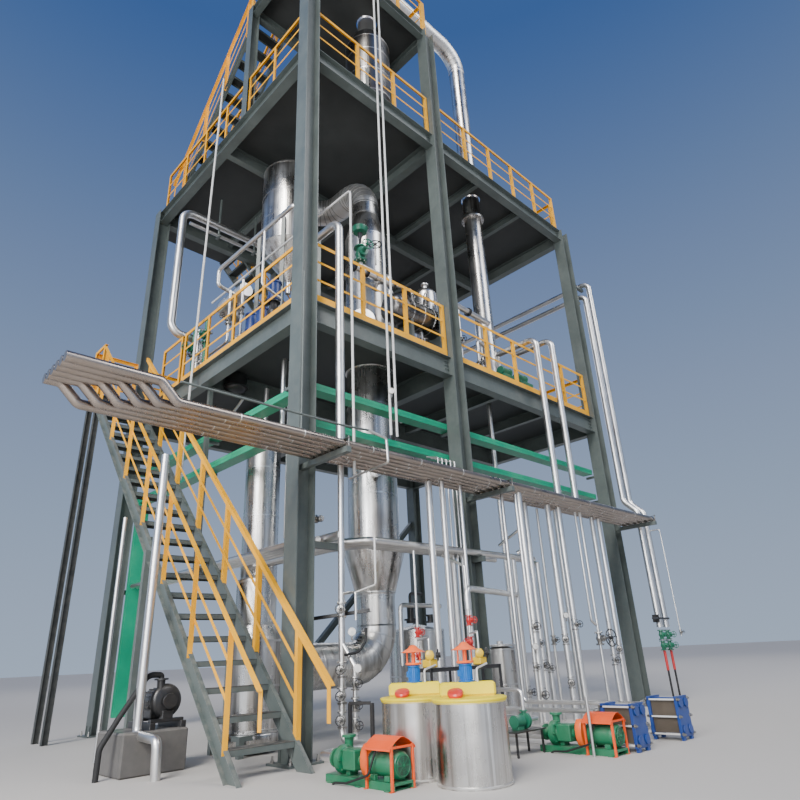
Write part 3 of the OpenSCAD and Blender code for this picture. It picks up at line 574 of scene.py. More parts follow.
weld("loop_pipes", [
    pipe(vent, 0.085, 1.1),
    pipe([(-0.05, 1.25, 8.6), (-0.05, 1.25, 7.44), (0.35, 1.25, 7.3)], 0.05),
    pipe([(0.38, -1.05, 4.06), (0.72, -1.05, 4.01), (0.74, -1.05, 3.66), (0.74, -0.20, 3.62)], 0.04, 1.2)],
     steel_pipe)
weld("conduits", [pipe([(-2.35, -1.07, 4.02), (-0.1, -1.07, 4.02), (0.38, -1.05, 4.06)], 0.03),
    pipe([(-2.2, -0.22, 4.10), (-0.16, -0.22, 4.10), (-0.16, -0.22, 6.9)], 0.03)], slate)
weld("drain_pipes", [
    pipe([(-1.52, 1.10, 3.9), (-1.52, 1.07, 0.42), (-1.52, 0.50, 0.40), (-1.50, 0.50, 0.0)], 0.11, 0.9, 4),
    pipe([(-1.42, 2.6, 3.3), (-1.42, 2.55, 0.02)], 0.06, 1)], steel_pipe)


# Valves: cast body between two flanges, yoke, stem and a spoked handwheel.
# They stand in the vertical lines round the near column and at the downcomers.
enamel_red = paint("enamel_red", (0.50, 0.012, 0.012), 0.3, 0.1, 0.1, 0.3)
enamel_black = paint("enamel_black", (0.012, 0.012, 0.013), 0.35, 0.1, 0.15, 0.2)
enamel_green = paint("enamel_green", (0.008, 0.14, 0.075), 0.35, 0.2, 0.15, 0.2)


def wheel(radius, rim, spokes=4):
    bpy.ops.mesh.primitive_torus_add(major_radius=radius, minor_radius=rim, major_segments=24,
        minor_segments=6)
    parts = [bpy.context.object]
    for i in range(spokes):
        parts.append(plank((0, 0, 0), heading(360 * i / spokes) * radius, rim * 1.6, rim, up))
    hub = [(-rim * 2, rim * 2.4), (-rim * 1.6, rim * 2.8), (rim * 2.6, rim * 2.8), (rim * 3, rim * 1.6)]
    parts.append(turned(hub, 10))
    return parts


def fit(steps, sides, finish, spot=(0, 0, 0), along=(0, 0, 1)):
    return put(dress(turned(steps, sides), finish), spot, along)


def valve(body, hand):
    run = [(-0.12, 0.085), (-0.1, 0.09), (-0.1, 0.05), (-0.06, 0.052), (0, 0.075), (0.06, 0.052),
        (0.1, 0.05), (0.1, 0.09), (0.12, 0.085)]
    bonnet = [(0.03, 0.045), (0.09, 0.05), (0.09, 0.07), (0.11, 0.07), (0.115, 0.035), (0.17, 0.025),
        (0.20, 0.02)]
    stem = [(0.18, 0.01), (0.19, 0.011), (0.30, 0.011), (0.305, 0.008)]
    out = (1, 0, 0)
    parts = [fit(run, 20, body), fit(bonnet, 14, body, along=out), fit(stem, 8, steel, along=out)]
    parts.append(put(dress(one(wheel(0.075, 0.008)), hand), (0.262, 0, 0), out))
    studs = [(heading(45 * i + 22.5) * 0.072 + up * (s * 0.12), (0, 0, s)) for i in range(8) for s in (1, -1)]
    return one(parts + copies(dress(bolt(0.018, 0.012, 0.008), steel), studs))


def valve_row(spots, body=steel, hand=enamel_black, along=(0, 0, 1)):
    return copies(valve(body, hand), [((x, y, z), along, spin, size) for x, y, z, spin, size in spots])


feed_x, feed_y = 0.47, -0.327
near_valves = [(feed_x, feed_y, z, 3.9, 0.75) for z in (0.45, 0.72, 1.02, 1.75)]
near_valves += [(0.50, -0.55, z, 4.3, 0.62) for z in (0.40, 0.62, 0.86)]
near_valves += [(4.06, -0.863, z, 4.0, 0.75) for z in (0.5, 1.5)]
near_valves += [(5.37, -0.595, z, 3.7, 0.75) for z in (0.6, 1.3)]
near_valves += [(5.75, -0.595, 1.55, 4.2, 0.75), (4.80, -0.461, 0.9, 4.0, 0.7),
    (2.17, -0.461, 0.55, 4.4, 0.75), (7.25, -0.461, 0.9, 4.0, 0.75), (7.53, -0.461, 1.1, 3.6, 0.75)]
weld("steel_valves", valve_row(near_valves))
weld("red_valves", valve_row([(1.75, -0.46, 1.45, 4.4, 0.55), (1.75, -0.46, 1.15, 3.6, 0.5),
    (2.62, -0.70, 1.60, 4.4, 0.6), (2.62, -0.70, 1.30, 3.4, 0.6)], enamel_red, enamel_red))
right_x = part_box("right_risers")[0][0] + 0.07
right_pair = (right_x, right_x + 0.33)
weld("green_valves", valve_row([(x, -0.56, z, 4.2, 0.8) for x in right_pair for z in (1.34, 1.12)],
    enamel_green, enamel_green))
weld("valve_lines", [
    pipe([(0.50, -0.55, 0.2), (0.50, -0.55, 1.05), (feed_x, feed_y, 1.35)], 0.06),
    pipe([(1.75, -0.46, 0.2), (1.75, -0.46, 2.6)], 0.035),
    pipe([(2.62, -0.70, 0.2), (2.62, -0.70, 2.4), (2.62, -0.24, 2.62)], 0.045)], steel_pipe)
weld("wheel_valve", valve_row([(6.56, -0.595, 1.30, 4.6, 0.9)])
     + [put(dress(one(wheel(0.15, 0.011, 5)), enamel_black), (6.53, -0.86, 1.30), (-0.2, -1, 0))])
head_x, head_y, hand_x = 2.01, 0.90, 2.44
diaphragm = [(0, 0.03), (0.02, 0.14), (0.1, 0.17), (0.13, 0.17), (0.16, 0.12), (0.18, 0.03)]
rod = [(0, 0.03), (0.25, 0.03), (0.3, 0.05), (0.5, 0.05)]
weld("head_valves", valve_row([(head_x, head_y, 8.86, 4.4, 1.5)], enamel_green, enamel_green) + [
    fit(diaphragm, 24, enamel_green, (head_x, head_y, 9.40)),
    fit(rod, 12, enamel_black, (head_x, head_y, 9.02)),
    dress(pipe([(head_x, head_y, 8.2), (head_x, head_y, 8.66)], 0.1), steel_pipe),
    dress(pipe([(2.05, head_y, 8.60), (2.62, head_y, 8.60), (2.62, 1.1, 8.60)], 0.09), steel_pipe),
    put(dress(one(wheel(0.13, 0.012, 4)), enamel_black), (hand_x, head_y, 9.33)),
    dress(pipe([(hand_x, head_y, 8.8), (hand_x, head_y, 9.34)], 0.035), steel)])


# Gauges: round dial in a steel case, with a white face and a black needle. Each
# stands on a short stem in its line.
def gauge(spot, facing, radius=0.05):
    facing = Vector(facing).normalized()
    case = [(-0.03, radius * 0.9), (-0.025, radius), (0.006, radius), (0.006, radius * 0.86),
        (0.002, radius * 0.85)]
    face = [(0.0, radius * 0.84), (0.0025, radius * 0.84), (0.003, radius * 0.8)]
    needle = plank((0, -radius * 0.2, 0.005), (radius * 0.4, radius * 0.5, 0.005), 0.004, 0.002, up)
    below = Vector(spot) - facing * 0.012 - up * (radius + 0.055)
    stem = [(0, 0.01), (0.01, 0.013), (0.05, 0.013), (0.06, 0.01)]
    parts = [fit(case, 24, steel, spot, facing), fit(face, 24, white, spot, facing),
             put(dress(needle, enamel_black), spot, facing), fit(stem, 6, steel, below)]
    bpy.context.view_layer.update()
    return parts


dials = []
for spot in ((0.54, -0.45, 1.47), (0.50, -0.60, 1.03), (1.20, -0.70, 5.0), (3.95, -0.92, 1.2),
             (5.3, -0.72, 1.7)):
    dials += gauge(spot, (-0.7, -0.7, 0.1))
weld("gauges", dials)


# Dosing tanks: two polished drums with a rolled rim and a closing strip down
# each side. The yellow plastic lids have a folded hood and a red screw cap each.
def stretch(piece, along_x, along_y):
    bpy.context.view_layer.objects.active = piece
    bpy.ops.object.mode_set(mode="EDIT")
    bpy.ops.mesh.select_all(action="SELECT")
    bpy.ops.transform.resize(value=(along_x, along_y, 1))
    bpy.ops.object.mode_set(mode="OBJECT")
    return piece


lid_yellow = paint("lid_yellow", (0.76, 0.60, 0.0), 0.4, 0.0, 0.0)
lid_yellow.on("dosing_lids")
cap_red = paint("cap_red", (0.62, 0.02, 0.01), 0.4, 0.0, 0.1, 0.2)
tank_low, tank_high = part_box("dosing_tanks")
lid_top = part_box("dosing_lids")[1][2]
drum = 0.358
drums = [(tank_high[0] - drum - 0.025, tank_high[1] - drum), (tank_high[0] - drum, tank_low[1] + drum)]
rims = copies(band(drum, 0.02, 0.007, 48), [((x, y, z),) for x, y in drums for z in (0.02, 0.712)])
for x, y in drums:
    for degrees in (250, 70):
        out = heading(degrees)
        spot = Vector((x, y, 0)) + out * (drum + 0.001)
        rims.append(plank(spot + up * 0.03, spot + up * 0.70, 0.025, 0.002, out))
weld("tank_rims", rims, steel_pipe)
cap = stretch(turned([(0, 0.075), (0.018, 0.08), (0.03, 0.072), (0.034, 0.03)], 24), 1.0, 0.72)
cap_spots = [((x - 0.17, y + 0.02, 0.765), (-0.22, -0.12, 1), 0.8, 1.4) for x, y in drums]
weld("lid_caps", copies(cap, cap_spots), cap_red)
plate = [(0.725, 0.373), (0.735, 0.374), (0.741, 0.371), (0.745, 0.362), (0.747, 0.25), (0.747, 0.02)]
folds = []
for x, y in drums:
    hood = bar((0.02, -0.28, 0.745), (0.22, 0.28, lid_top), 0.02)
    choose(hood, lambda face: face.normal.z > 0.9)
    bpy.ops.mesh.inset(thickness=0.025)
    bpy.ops.transform.translate(value=(0, 0, -0.008))
    bpy.ops.object.mode_set(mode="OBJECT")
    folds += [put(hood, (x, y, 0), up, math.pi / 4), put(turned(plate, 48), (x, y, 0)),
              put(turned([(0.700, 0.362), (0.722, 0.370), (0.7255, 0.371)], 48), (x, y, 0))]
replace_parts(weld("moulded_lids", folds, lid_yellow), "dosing_lids")


# Agitator drives: blue flange motor with ribs, orange lantern with four posts
# and an orange rain hat over the shaft; a dip pipe stands beside each.
def fluted(body, rib, spots):
    return [body] + copies(one([rib]), spots)


mixer_blue = paint("mixer_blue", (0.0, 0.12, 0.42), 0.35, 0.2, 0.04)
mixer_blue.on("agitators")
enamel_orange = paint("enamel_orange", (0.86, 0.13, 0.015), 0.38, 0.1, 0.1, 0.2)
mixers = [((x + 0.08, y + 0.08, lid_top),) for x, y in drums]
twentieths = [((0, 0, 0), up, i * math.pi / 10) for i in range(20)]
can = [(0, 0.085), (0.012, 0.088), (0.014, 0.058), (0.15, 0.058), (0.155, 0.07), (0.17, 0.07), (0.175, 0.03)]
rib = plank((0.056, 0, 0.02), (0.056, 0, 0.148), 0.005, 0.02, (1, 0, 0))
motor = fluted(turned(can, 24), rib, twentieths)
motor.append(bar((-0.03, 0.055, 0.05), (0.03, 0.095, 0.11), 0.006))
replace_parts(weld("agitator_motors", copies(one(motor), mixers), mixer_blue), "agitators")
lantern = [turned([(0.176, 0.085), (0.19, 0.09), (0.196, 0.09), (0.2, 0.03)], 24)]
for s, t in quarters:
    lantern.append(plank((s * 0.05, t * 0.05, 0.195), (s * 0.05, t * 0.05, 0.305), 0.012, 0.012, (1, 0, 0)))
lantern.append(turned([(0.195, 0.02), (0.2, 0.022), (0.30, 0.022)], 12))
lantern.append(turned([(0.300, 0.125), (0.304, 0.133), (0.308, 0.131), (0.345, 0.06), (0.372, 0.035),
    (0.38, 0.01)], 8))
weld("agitator_hats", copies(one(lantern), mixers), enamel_orange)
dip = []
for x, y in drums:
    dip.append(pipe([(x + 0.22, y + 0.20, 0.74), (x + 0.22, y + 0.20, lid_top - 0.06)], 0.028))
    elbow_spot = (x + 0.18, y + 0.02, lid_top + 0.12)
    dip.append(pipe([(x + 0.18, y + 0.02, 0.74), elbow_spot, (x + 0.45, y + 0.10, lid_top + 0.16)], 0.022))
weld("dip_pipes", dip, white)


# Pumps: horizontal end suction pumps on a welded green base, with ribbed motor,
# fan cover, terminal box, coupling guard, bearing bracket and volute.
pump_green = paint("pump_green", (0.006, 0.15, 0.065), 0.38, 0.3, 0.3)
pump_green.on("pumps")
rubber = Finish("black_rubber", (0.012, 0.012, 0.012), 0.7)
pump_low, pump_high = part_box("pumps")
starts = [(pump_low[0] + 0.135, pump_high[1] - 1.03), (pump_high[0] - 0.135, pump_low[1])]
shaft = 0.2
way = (0, 1, 0)
body = [bar((-0.125, 0.0, 0.045), (0.125, 1.03, 0.07), 0.004)]
body += [bar((s * 0.125 - 0.006, 0, 0.0), (s * 0.125 + 0.006, 1.03, 0.07)) for s in (-0.95, 0.95)]
body += [bar((-0.16, y, 0.0), (0.16, y + 0.07, 0.012)) for y in (0.04, 0.46, 0.9)]
for s, y in ((1, 0.09), (1, 0.29), (-1, 0.09), (-1, 0.29)):
    body.append(bar((s * 0.085 - 0.02, y, 0.07), (s * 0.085 + 0.02, y + 0.07, 0.115), 0.003))
casing = [(0, 0.06), (0.004, 0.10), (0.03, 0.118), (0.075, 0.12), (0.078, 0.108), (0.36, 0.108),
    (0.363, 0.116), (0.385, 0.116), (0.39, 0.06), (0.41, 0.03)]
bracket = [(0, 0.03), (0.01, 0.05), (0.10, 0.05), (0.105, 0.075), (0.125, 0.075), (0.14, 0.055),
    (0.20, 0.05), (0.205, 0.09), (0.225, 0.095), (0.24, 0.05)]
volute = [(0, 0.06), (0.006, 0.115), (0.02, 0.133), (0.08, 0.133), (0.096, 0.11), (0.10, 0.075),
    (0.13, 0.06), (0.17, 0.055), (0.175, 0.09), (0.20, 0.09), (0.203, 0.05)]
outlet = [(0, 0.04), (0.15, 0.045), (0.19, 0.05), (0.192, 0.075), (0.215, 0.075), (0.218, 0.04)]
fin = plank((0, 0.104, 0.085), (0, 0.104, 0.355), 0.004, 0.032, (1, 0, 0))
fin_spots = [((0, 0.005, shaft), way, i * math.pi / 16) for i in range(32) if i not in (15, 16, 17)]
body += fluted(put(turned(casing, 32), (0, 0.005, shaft), way), fin, fin_spots)
body.append(bar((-0.045, 0.14, shaft + 0.1), (0.045, 0.26, shaft + 0.175), 0.008))
body.append(put(turned(bracket, 28), (0, 0.575, shaft), way))
body.append(bar((-0.10, 0.60, 0.115), (0.10, 0.79, 0.30), 0.012))
body.append(bar((-0.06, 0.72, 0.07), (0.06, 0.78, shaft - 0.02), 0.006))
body.append(put(turned(volute, 32), (0, 0.81, shaft), way))
body.append(put(turned(outlet, 24), (0.055, 0.865, shaft)))
for i in range(8):
    out = heading(45 * i) * 0.122
    body.append(put(bolt(0.016, 0.012, 0.006), (out.x, 0.812, shaft + out.y), (0, -1, 0)))
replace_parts(weld("green_pumps", copies(one(body), [((x, y, 0),) for x, y in starts]), pump_green), "pumps")
guard = turned([(0, 0.03), (0.004, 0.105), (0.012, 0.11), (0.075, 0.11), (0.083, 0.105), (0.087, 0.03)], 28)
guard_spots = [((x, y + 0.46, shaft + 0.01), way) for x, y in starts]
weld("coupling_guards", copies(stretch(guard, 0.7, 1.35), guard_spots), enamel_orange)
opening = turned([(0, 0.02), (0.001, 0.088), (0.003, 0.09), (0.004, 0.088), (0.0045, 0.02)], 28)
weld("fan_openings", copies(opening, [((x, y + 0.003, shaft), (0, -1, 0)) for x, y in starts]), enamel_black)
grille = wheel(0.085, 0.004, 8)
for radius in (0.03, 0.05, 0.068):
    bpy.ops.mesh.primitive_torus_add(major_radius=radius, minor_radius=0.0025, major_segments=24,
        minor_segments=4)
    grille.append(bpy.context.object)
weld("fan_grilles", copies(one(grille), [((x, y - 0.004, shaft), (0, -1, 0)) for x, y in starts]), pump_green)
feeds = []
for x, y in starts:
    feeds.append(pipe([(x - 0.04, y + 0.24, shaft + 0.13), (x - 0.12, y + 0.24, shaft + 0.15),
                       (x - 0.18, y + 0.30, 0.12), (x - 0.19, y + 0.62, 0.03), (x - 0.19, y + 0.80, 0.02),
                       (x - 0.19, y + 0.83, 0.0)], 0.022, 3))
weld("motor_cables", feeds, rubber)


# Rain hoods over the motors: folded orange sheet with a peaked top and turned
# down eaves, on four square tube posts with foot pads.
hood_orange = paint("hood_orange", (0.80, 0.085, 0.008), 0.4, 0.2, 0.05)
hood_orange.on("pump_hoods")
half_crown = [(-0.17, 0.33), (-0.165, 0.35), (-0.09, 0.405), (-0.02, 0.438)]
crown = half_crown + [(-x, z) for x, z in reversed(half_crown)]
hoods = []
for x, y in starts:
    for (ax, az), (bx, bz) in zip(crown, crown[1:]):
        near = (x + ax - (bx - ax) * 0.03, y + 0.19, az - (bz - az) * 0.03)
        hoods.append(plank(near, (x + bx, y + 0.19, bz), 0.38, 0.003, (az - bz, 0, bx - ax)))
    for b in (y + 0.0125, y + 0.3675):
        for a in (x - 0.138, x + 0.138):
            hoods.append(bar((a - 0.0125, b - 0.0125, 0), (a + 0.0125, b + 0.0125, 0.372), 0.003))
            hoods.append(bar((a - 0.03, b - 0.0125, 0), (a + 0.03, b + 0.02, 0.006)))
        hoods.append(bar((x - 0.138, b - 0.01, 0.345), (x + 0.138, b + 0.01, 0.365)))
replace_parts(weld("sheet_hoods", hoods, hood_orange), "pump_hoods")


# Plate exchangers: a pack of thin pressed plates between two blue cover plates,
# drawn together by long tie bolts with nuts; square feet, top and bottom bars.
plate_stack = paint("plate_stack", (0.16, 0.13, 0.10), 0.5, 0.2, 0.3)
plate_stack.on("exchangers")
cooler_blue = paint("cooler_blue", (0.010, 0.046, 0.22), 0.35, 0.2, 0.2)
cooler_blue.on("exchanger_frames")
cool_low, cool_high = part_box("exchanger_frames")
corners = [(cool_low[0] + 0.16, cool_high[1] - 0.41), (cool_high[0] - 0.16, cool_low[1])]
plate_count, plate_pitch = 44, 0.0075
port = [(0, 0.02), (0.004, 0.05), (0.006, 0.055), (0.02, 0.055), (0.022, 0.04)]
ring = [(0, 0.03), (0.001, 0.055), (0.014, 0.055), (0.015, 0.03)]
plates, ties, covers, nuts, necks = [], [], [], [], []
for x, y in corners:
    plates += [((x, y + 0.0435 + i * plate_pitch, 0.275), way) for i in range(plate_count)]
    for z in (0.075, 0.275, 0.475):
        for s in (1, -1):
            a = x + s * 0.150
            ties.append(plank((a, y - 0.018, z), (a, y + 0.428, z), 0.02, 0.02, (1, 0, 0)))
            nuts += [((x + s * 0.148, y + t, z), (0, u, 0)) for t, u in ((0.0, -1), (0.41, 1))]
    for t, face_y, u in ((0.0, 0.0, -1), (0.37, 0.41, 1)):
        covers.append(bar((x - 0.16, y + t, 0.04), (x + 0.16, y + t + 0.04, 0.51), 0.004))
        for a in (x - 0.11, x + 0.11):
            covers.append(bar((a - 0.03, y + t, 0), (a + 0.03, y + t + 0.04, 0.045), 0.003))
        holes = [((x + a, y + face_y, z), (0, u, 0)) for a in (-0.08, 0.08) for z in (0.12, 0.43)]
        covers += copies(turned(port, 20), holes)
    for z in (0.075, 0.462):
        covers.append(bar((x - 0.02, y - 0.01, z), (x + 0.02, y + 0.42, z + 0.03), 0.003))
    for a, z, reach in ((x - 0.08, 0.43, 0.12), (x + 0.08, 0.12, 0.16)):
        b = y + 0.425 + reach
        run = [(a, y + 0.425, z), (a, b, z), (a, b, 0.10), (a, min(-0.70, y + 2.2), 0.10)]
        necks.append(dress(pipe(run, 0.06, 1.2), steel_pipe))
        necks.append(fit(ring, 20, steel, (a, y + 0.435, z), way))
sheet = bar((-0.13, -0.185, -0.0012), (0.13, 0.185, 0.0012), 0.0004)
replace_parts(weld("plate_packs", copies(sheet, plates), plate_stack), "exchangers")
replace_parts(weld("cover_plates", covers, cooler_blue), "exchanger_frames")
weld("tie_bars", ties, white)
weld("tie_nuts", copies(bolt(0.034, 0.022, 0.012), nuts), steel)
weld("cooler_pipes", necks)


# Deck one equipment behind the front rails: a horizontal shell and tube cooler
# on saddles, a small reflux drum on four legs, and short headers with valves.
deck_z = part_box("deck_1")[1][2]
cool_y, cool_z = 0.47, 7.57
shell = [(-0.95, 0.04), (-0.93, 0.20), (-0.86, 0.285), (-0.80, 0.30), (-0.66, 0.30), (-0.655, 0.345),
    (-0.60, 0.345), (-0.595, 0.30), (0.60, 0.30), (0.605, 0.345), (0.66, 0.345), (0.665, 0.30),
    (0.80, 0.30), (0.86, 0.285), (0.93, 0.20), (0.95, 0.04)]
cooler = [fit(shell, 40, shell_painted_dark, (3.25, cool_y, cool_z), (1, 0, 0))]
for x in (2.80, 3.70):
    cooler.append(dress(bar((x - 0.04, 0.27, deck_z), (x + 0.04, 0.67, 7.36), 0.004), slate))
    cooler.append(dress(bar((x - 0.09, 0.22, deck_z), (x + 0.09, 0.72, deck_z + 0.015)), slate))
weld("deck_cooler", cooler)
wraps = [((x, cool_y, cool_z), (1, 0, 0)) for x in (2.80, 3.1, 3.4, 3.70)]
weld("cooler_bands", copies(band(0.30, 0.03, 0.005, 40), wraps), trim)
drum_x, drum_y = 3.98, 0.95
reflux = [(0, 0.06), (0.03, 0.20), (0.07, 0.25), (0.12, 0.26), (1.95, 0.26), (2.0, 0.255), (2.08, 0.20),
    (2.12, 0.10), (2.13, 0.02)]
tank = [fit(reflux, 36, cladding, (drum_x, drum_y, deck_z + 0.15))]
for s, t in quarters:
    x, y = drum_x + s * 0.17, drum_y + t * 0.17
    tank.append(dress(bar((x - 0.02, y - 0.02, deck_z), (x + 0.02, y + 0.02, deck_z + 0.35)), slate))
outlet = [(0, 0.05), (0.14, 0.05), (0.141, 0.09), (0.165, 0.09), (0.17, 0.03)]
tank.append(fit(outlet, 20, steel_pipe, (drum_x, drum_y, deck_z + 2.27)))
weld("reflux_drum", tank)
weld("deck_headers", [
    pipe([(1.30, 0.30, 7.93), (2.32, 0.30, 7.93)], 0.13, 1, 4),
    pipe([(2.55, 0.62, deck_z), (2.55, 0.62, 8.45), (2.55, 0.95, 8.45)], 0.12, 1.2, 4),
    pipe([(3.95, 0.45, 8.40), (5.68, 0.52, 8.40)], 0.14, 1, 4),
    pipe([(5.15, 0.50, deck_z), (5.15, 0.50, 7.75), (5.72, 0.62, 7.75)], 0.08, 1.2),
    pipe([(5.40, 0.60, deck_z), (5.40, 0.60, 8.33)], 0.07),
    pipe([(4.55, 0.50, deck_z), (4.55, 0.50, 8.34)], 0.07),
    pipe([(3.05, cool_y, 7.8), (3.05, cool_y, 8.20), (2.60, 0.55, 8.20)], 0.06, 1.2),
    pipe([(3.45, cool_y, 7.8), (3.45, cool_y, 8.32), (3.80, 0.85, 8.32)], 0.06, 1.2),
    pipe([(3.25, cool_y, 7.30), (3.25, cool_y, 6.85), (4.55, 0.50, 6.85)], 0.08, 1.2),
    pipe([(6.28, 0.76, 7.78), (6.28, 0.80, 6.95), (5.95, 0.80, 6.95)], 0.08, 1.2),
    pipe([(6.97, 0.76, 7.98), (6.97, 0.84, 6.56)], 0.09, 1.2)], steel_pipe)
joint = [(-0.03, 0.06), (-0.028, 0.10), (-0.002, 0.10), (0, 0.07), (0.002, 0.10), (0.028, 0.10), (0.03, 0.06)]
ends = [((x, 0.30, 7.93), (1, 0, 0)) for x in (1.31, 1.62, 2.31)]
ends += [((2.55, 0.62, z),) for z in (7.0, 7.9)]
ends += [((x, 0.45 + (x - 3.95) * 0.04, 8.40), (1, 0, 0)) for x in (4.0, 4.9)]
weld("header_flanges", copies(turned(joint, 20), ends), enamel_black)
cocks = valve_row([(5.15, 0.50, 7.1, 4.0, 0.8), (5.40, 0.60, 7.35, 3.6, 0.8), (4.55, 0.50, 7.5, 4.2, 0.8),
    (3.05, cool_y, 8.02, 4.2, 0.6), (3.45, cool_y, 8.05, 4.2, 0.6), (6.97, 0.84, 7.2, 4.2, 0.8)])
weld("deck_valves", cocks + valve_row([(1.95, 0.30, 7.93, 0.5, 0.9)], along=(1, 0, 0)))


# Motors on deck one: two green ones lying on plinths at the front, and three
# blue ones standing on small vertical pumps along the left rail.
enamel_blue = paint("enamel_blue", (0.006, 0.03, 0.16), 0.35, 0.2, 0.15, 0.2)
can = [(0, 0.05), (0.004, 0.095), (0.03, 0.105), (0.06, 0.105), (0.063, 0.095), (0.30, 0.095),
    (0.303, 0.11), (0.33, 0.11), (0.335, 0.04), (0.40, 0.035)]
rib = plank((0, 0.092, 0.07), (0, 0.092, 0.295), 0.004, 0.024, (1, 0, 0))
drive, blue_drive = copies(one(fluted(turned(can, 24), rib, twentieths)), [((0, 0, 0),)] * 2)
weld("deck_motors", copies(drive, [((x, 0.22, 7.0), (1, 0, 0)) for x in (5.50, 6.10)])
     + [bar((x, 0.10, deck_z), (x + 0.5, 0.34, 6.90), 0.006) for x in (5.50, 6.10)], enamel_green)
stands = [(0.42, 2.36, 7.06), (0.42, 1.98, 7.02), (0.42, 1.58, 7.42)]
weld("blue_motors", copies(blue_drive, [(spot, up, 0, 1.25) for spot in stands]), enamel_blue)
pot = [(0, 0.06), (0.02, 0.11), (0.10, 0.12), (0.16, 0.08), (0.30, 0.07), (0.302, 0.12), (0.33, 0.12),
    (0.335, 0.06)]
pots = [fit(pot, 20, enamel_black, (x, y, z - 0.335)) for x, y, z in stands]
for x, y, z in stands:
    pots.append(dress(bar((x - 0.12, y - 0.12, deck_z), (x + 0.12, y + 0.12, z - 0.33), 0.006), slate))
weld("motor_pumps", pots)


# Headers along the left rail of deck one with their valves, and the lines and
# the dark pot that hang under the deck there.
weld("left_headers", [
    pipe([(0.50, 2.80, 8.34), (0.50, 3.90, 8.34), (0.95, 3.90, 8.34)], 0.30, 1.0, 6),
    pipe([(0.42, 1.58, 7.2), (0.62, 1.58, 7.2), (0.62, 2.6, 7.45), (0.62, 3.6, 7.45)], 0.09, 1.2),
    pipe([(0.62, 3.3, 7.45), (0.62, 3.3, deck_z)], 0.09),
    pipe([(0.30, 2.36, 6.85), (0.18, 2.36, 6.85), (0.18, 2.36, 8.2)], 0.06, 1.2),
    pipe([(0.25, 3.0, 8.3), (0.25, 3.0, 7.1), (0.25, 4.4, 7.1)], 0.06, 1.2),
    pipe([(0.2, 4.2, deck_z), (0.2, 4.2, 7.9), (0.5, 4.2, 7.9)], 0.07, 1.2)], steel_pipe)
weld("left_valves", valve_row([(0.62, 3.3, 7.0, 3.6, 0.8), (0.18, 2.36, 7.5, 3.6, 0.7),
    (0.25, 3.0, 7.6, 3.6, 0.8), (0.2, 4.2, 7.2, 3.4, 0.8)]))
greens = valve_row([(0.25, 3.95, 7.6, 3.6, 1.1), (0.25, 4.5, 7.5, 3.6, 1.1)], enamel_green, enamel_green)
greens += [dress(pipe([(0.25, y, deck_z), (0.25, y, 8.1)], 0.08), enamel_green) for y in (3.95, 4.5)]
weld("left_green_valves", greens)
weld("under_deck_pipes", [
    pipe([(1.06, 2.75, 5.10), (1.06, 2.75, 6.20)], 0.10),
    pipe([(0.60, 1.45, 6.20), (0.60, 1.45, 4.9), (0.60, 1.9, 4.75)], 0.09, 1.2),
    pipe([(0.72, 1.45, 6.20), (0.72, 1.45, 3.0)], 0.04),
    pipe([(0.9, 4.6, 6.40), (0.9, 4.3, 6.05), (0.9, 3.75, 5.98), (0.9, 3.3, 6.2)], 0.06, 2)], steel_pipe)
bowl = turned([(0, 0.03), (0.02, 0.15), (0.06, 0.21), (0.10, 0.225), (0.36, 0.225)], 32)
collar = turned([(0, 0.24), (0.004, 0.25), (0.03, 0.25), (0.034, 0.24)], 32)
weld("under_deck_pot", [put(bowl, (0.62, 3.22, 6.15)), put(collar, (0.62, 3.22, 6.26))], enamel_black)


# Cable trays: pressed green channels with a lid folded over the top edge and
# a joint strip every two metres.
tray_green = paint("tray_green", (0.0, 0.30, 0.155), 0.38, 0.0, 0.03, 0.2)
tray_green.on("trays")
joint_step = 2.0
lids = []
for z in (4.48, 5.10):
    for a, b in (((0.17, 0.29, 0), (8.83, 0.29, 0)), ((0.29, 0.41, 0), (0.29, 6.43, 0))):
        a, b = Vector(a) + up * (z + 0.1125), Vector(b) + up * (z + 0.1125)
        run = (b - a).normalized()
        out = run.cross(up)
        lids.append(plank(a, b, 0.25, 0.004, up))
        for s in (1, -1):
            shift = out * s * 0.1225 - up * 0.026
            lids.append(plank(a + shift, b + shift, 0.052, 0.003, out))
            for i in range(1, int((b - a).length / joint_step) + 1):
                spot = a + run * (i * joint_step) + out * s * 0.1255 - up * 0.055
                lids.append(plank(spot - run * 0.05, spot + run * 0.05, 0.10, 0.003, out))
weld("tray_lids", lids, tray_green)


# Brackets, posts and stands of dark angle steel beside pumps and tanks, and one
# short guide post of bright tube that stands on the slab.
def angle(a, b, out, wide=0.05):
    a, b, out = Vector(a), Vector(b), Vector(out)
    side = (b - a).normalized().cross(out)
    shift = (side - out) * wide / 2
    return [plank(a, b, wide, 0.005, out), plank(a + shift, b + shift, wide, 0.005, side)]


weld("guide_post", [pipe([(2.12, -2.80, 0.62), (2.12, -2.80, 0)], 0.035)], steel_pipe)
post_a, post_b, post_top = (0.20, -0.79), (0.30, -1.07), 0.66
bench_x, bench_y = (0.95, 1.62, 2.30), (-1.45, -1.15)
dark = angle((*post_a, post_top), (*post_b, post_top), (-1, 0, 0), 0.035)
for post in (post_a, post_b):
    dark += angle((*post, 0), (*post, post_top), (-1, 0, 0), 0.035)
dark += angle((0.34, 0.15, 1.67), (0.73, -0.60, 1.73), (-1, 0, 0), 0.045)
for z in (0.97, 0.55):
    for y in bench_y:
        dark += angle((bench_x[0], y, z), (bench_x[2], y, z), (0, -1, 0), 0.04)
    for x in bench_x:
        dark += angle((x, bench_y[0], z), (x, bench_y[1], z), (-1, 0, 0), 0.04)
for x in bench_x:
    for y in bench_y:
        dark += angle((x, y, 0), (x, y, 0.99), (0, -1, 0), 0.045)
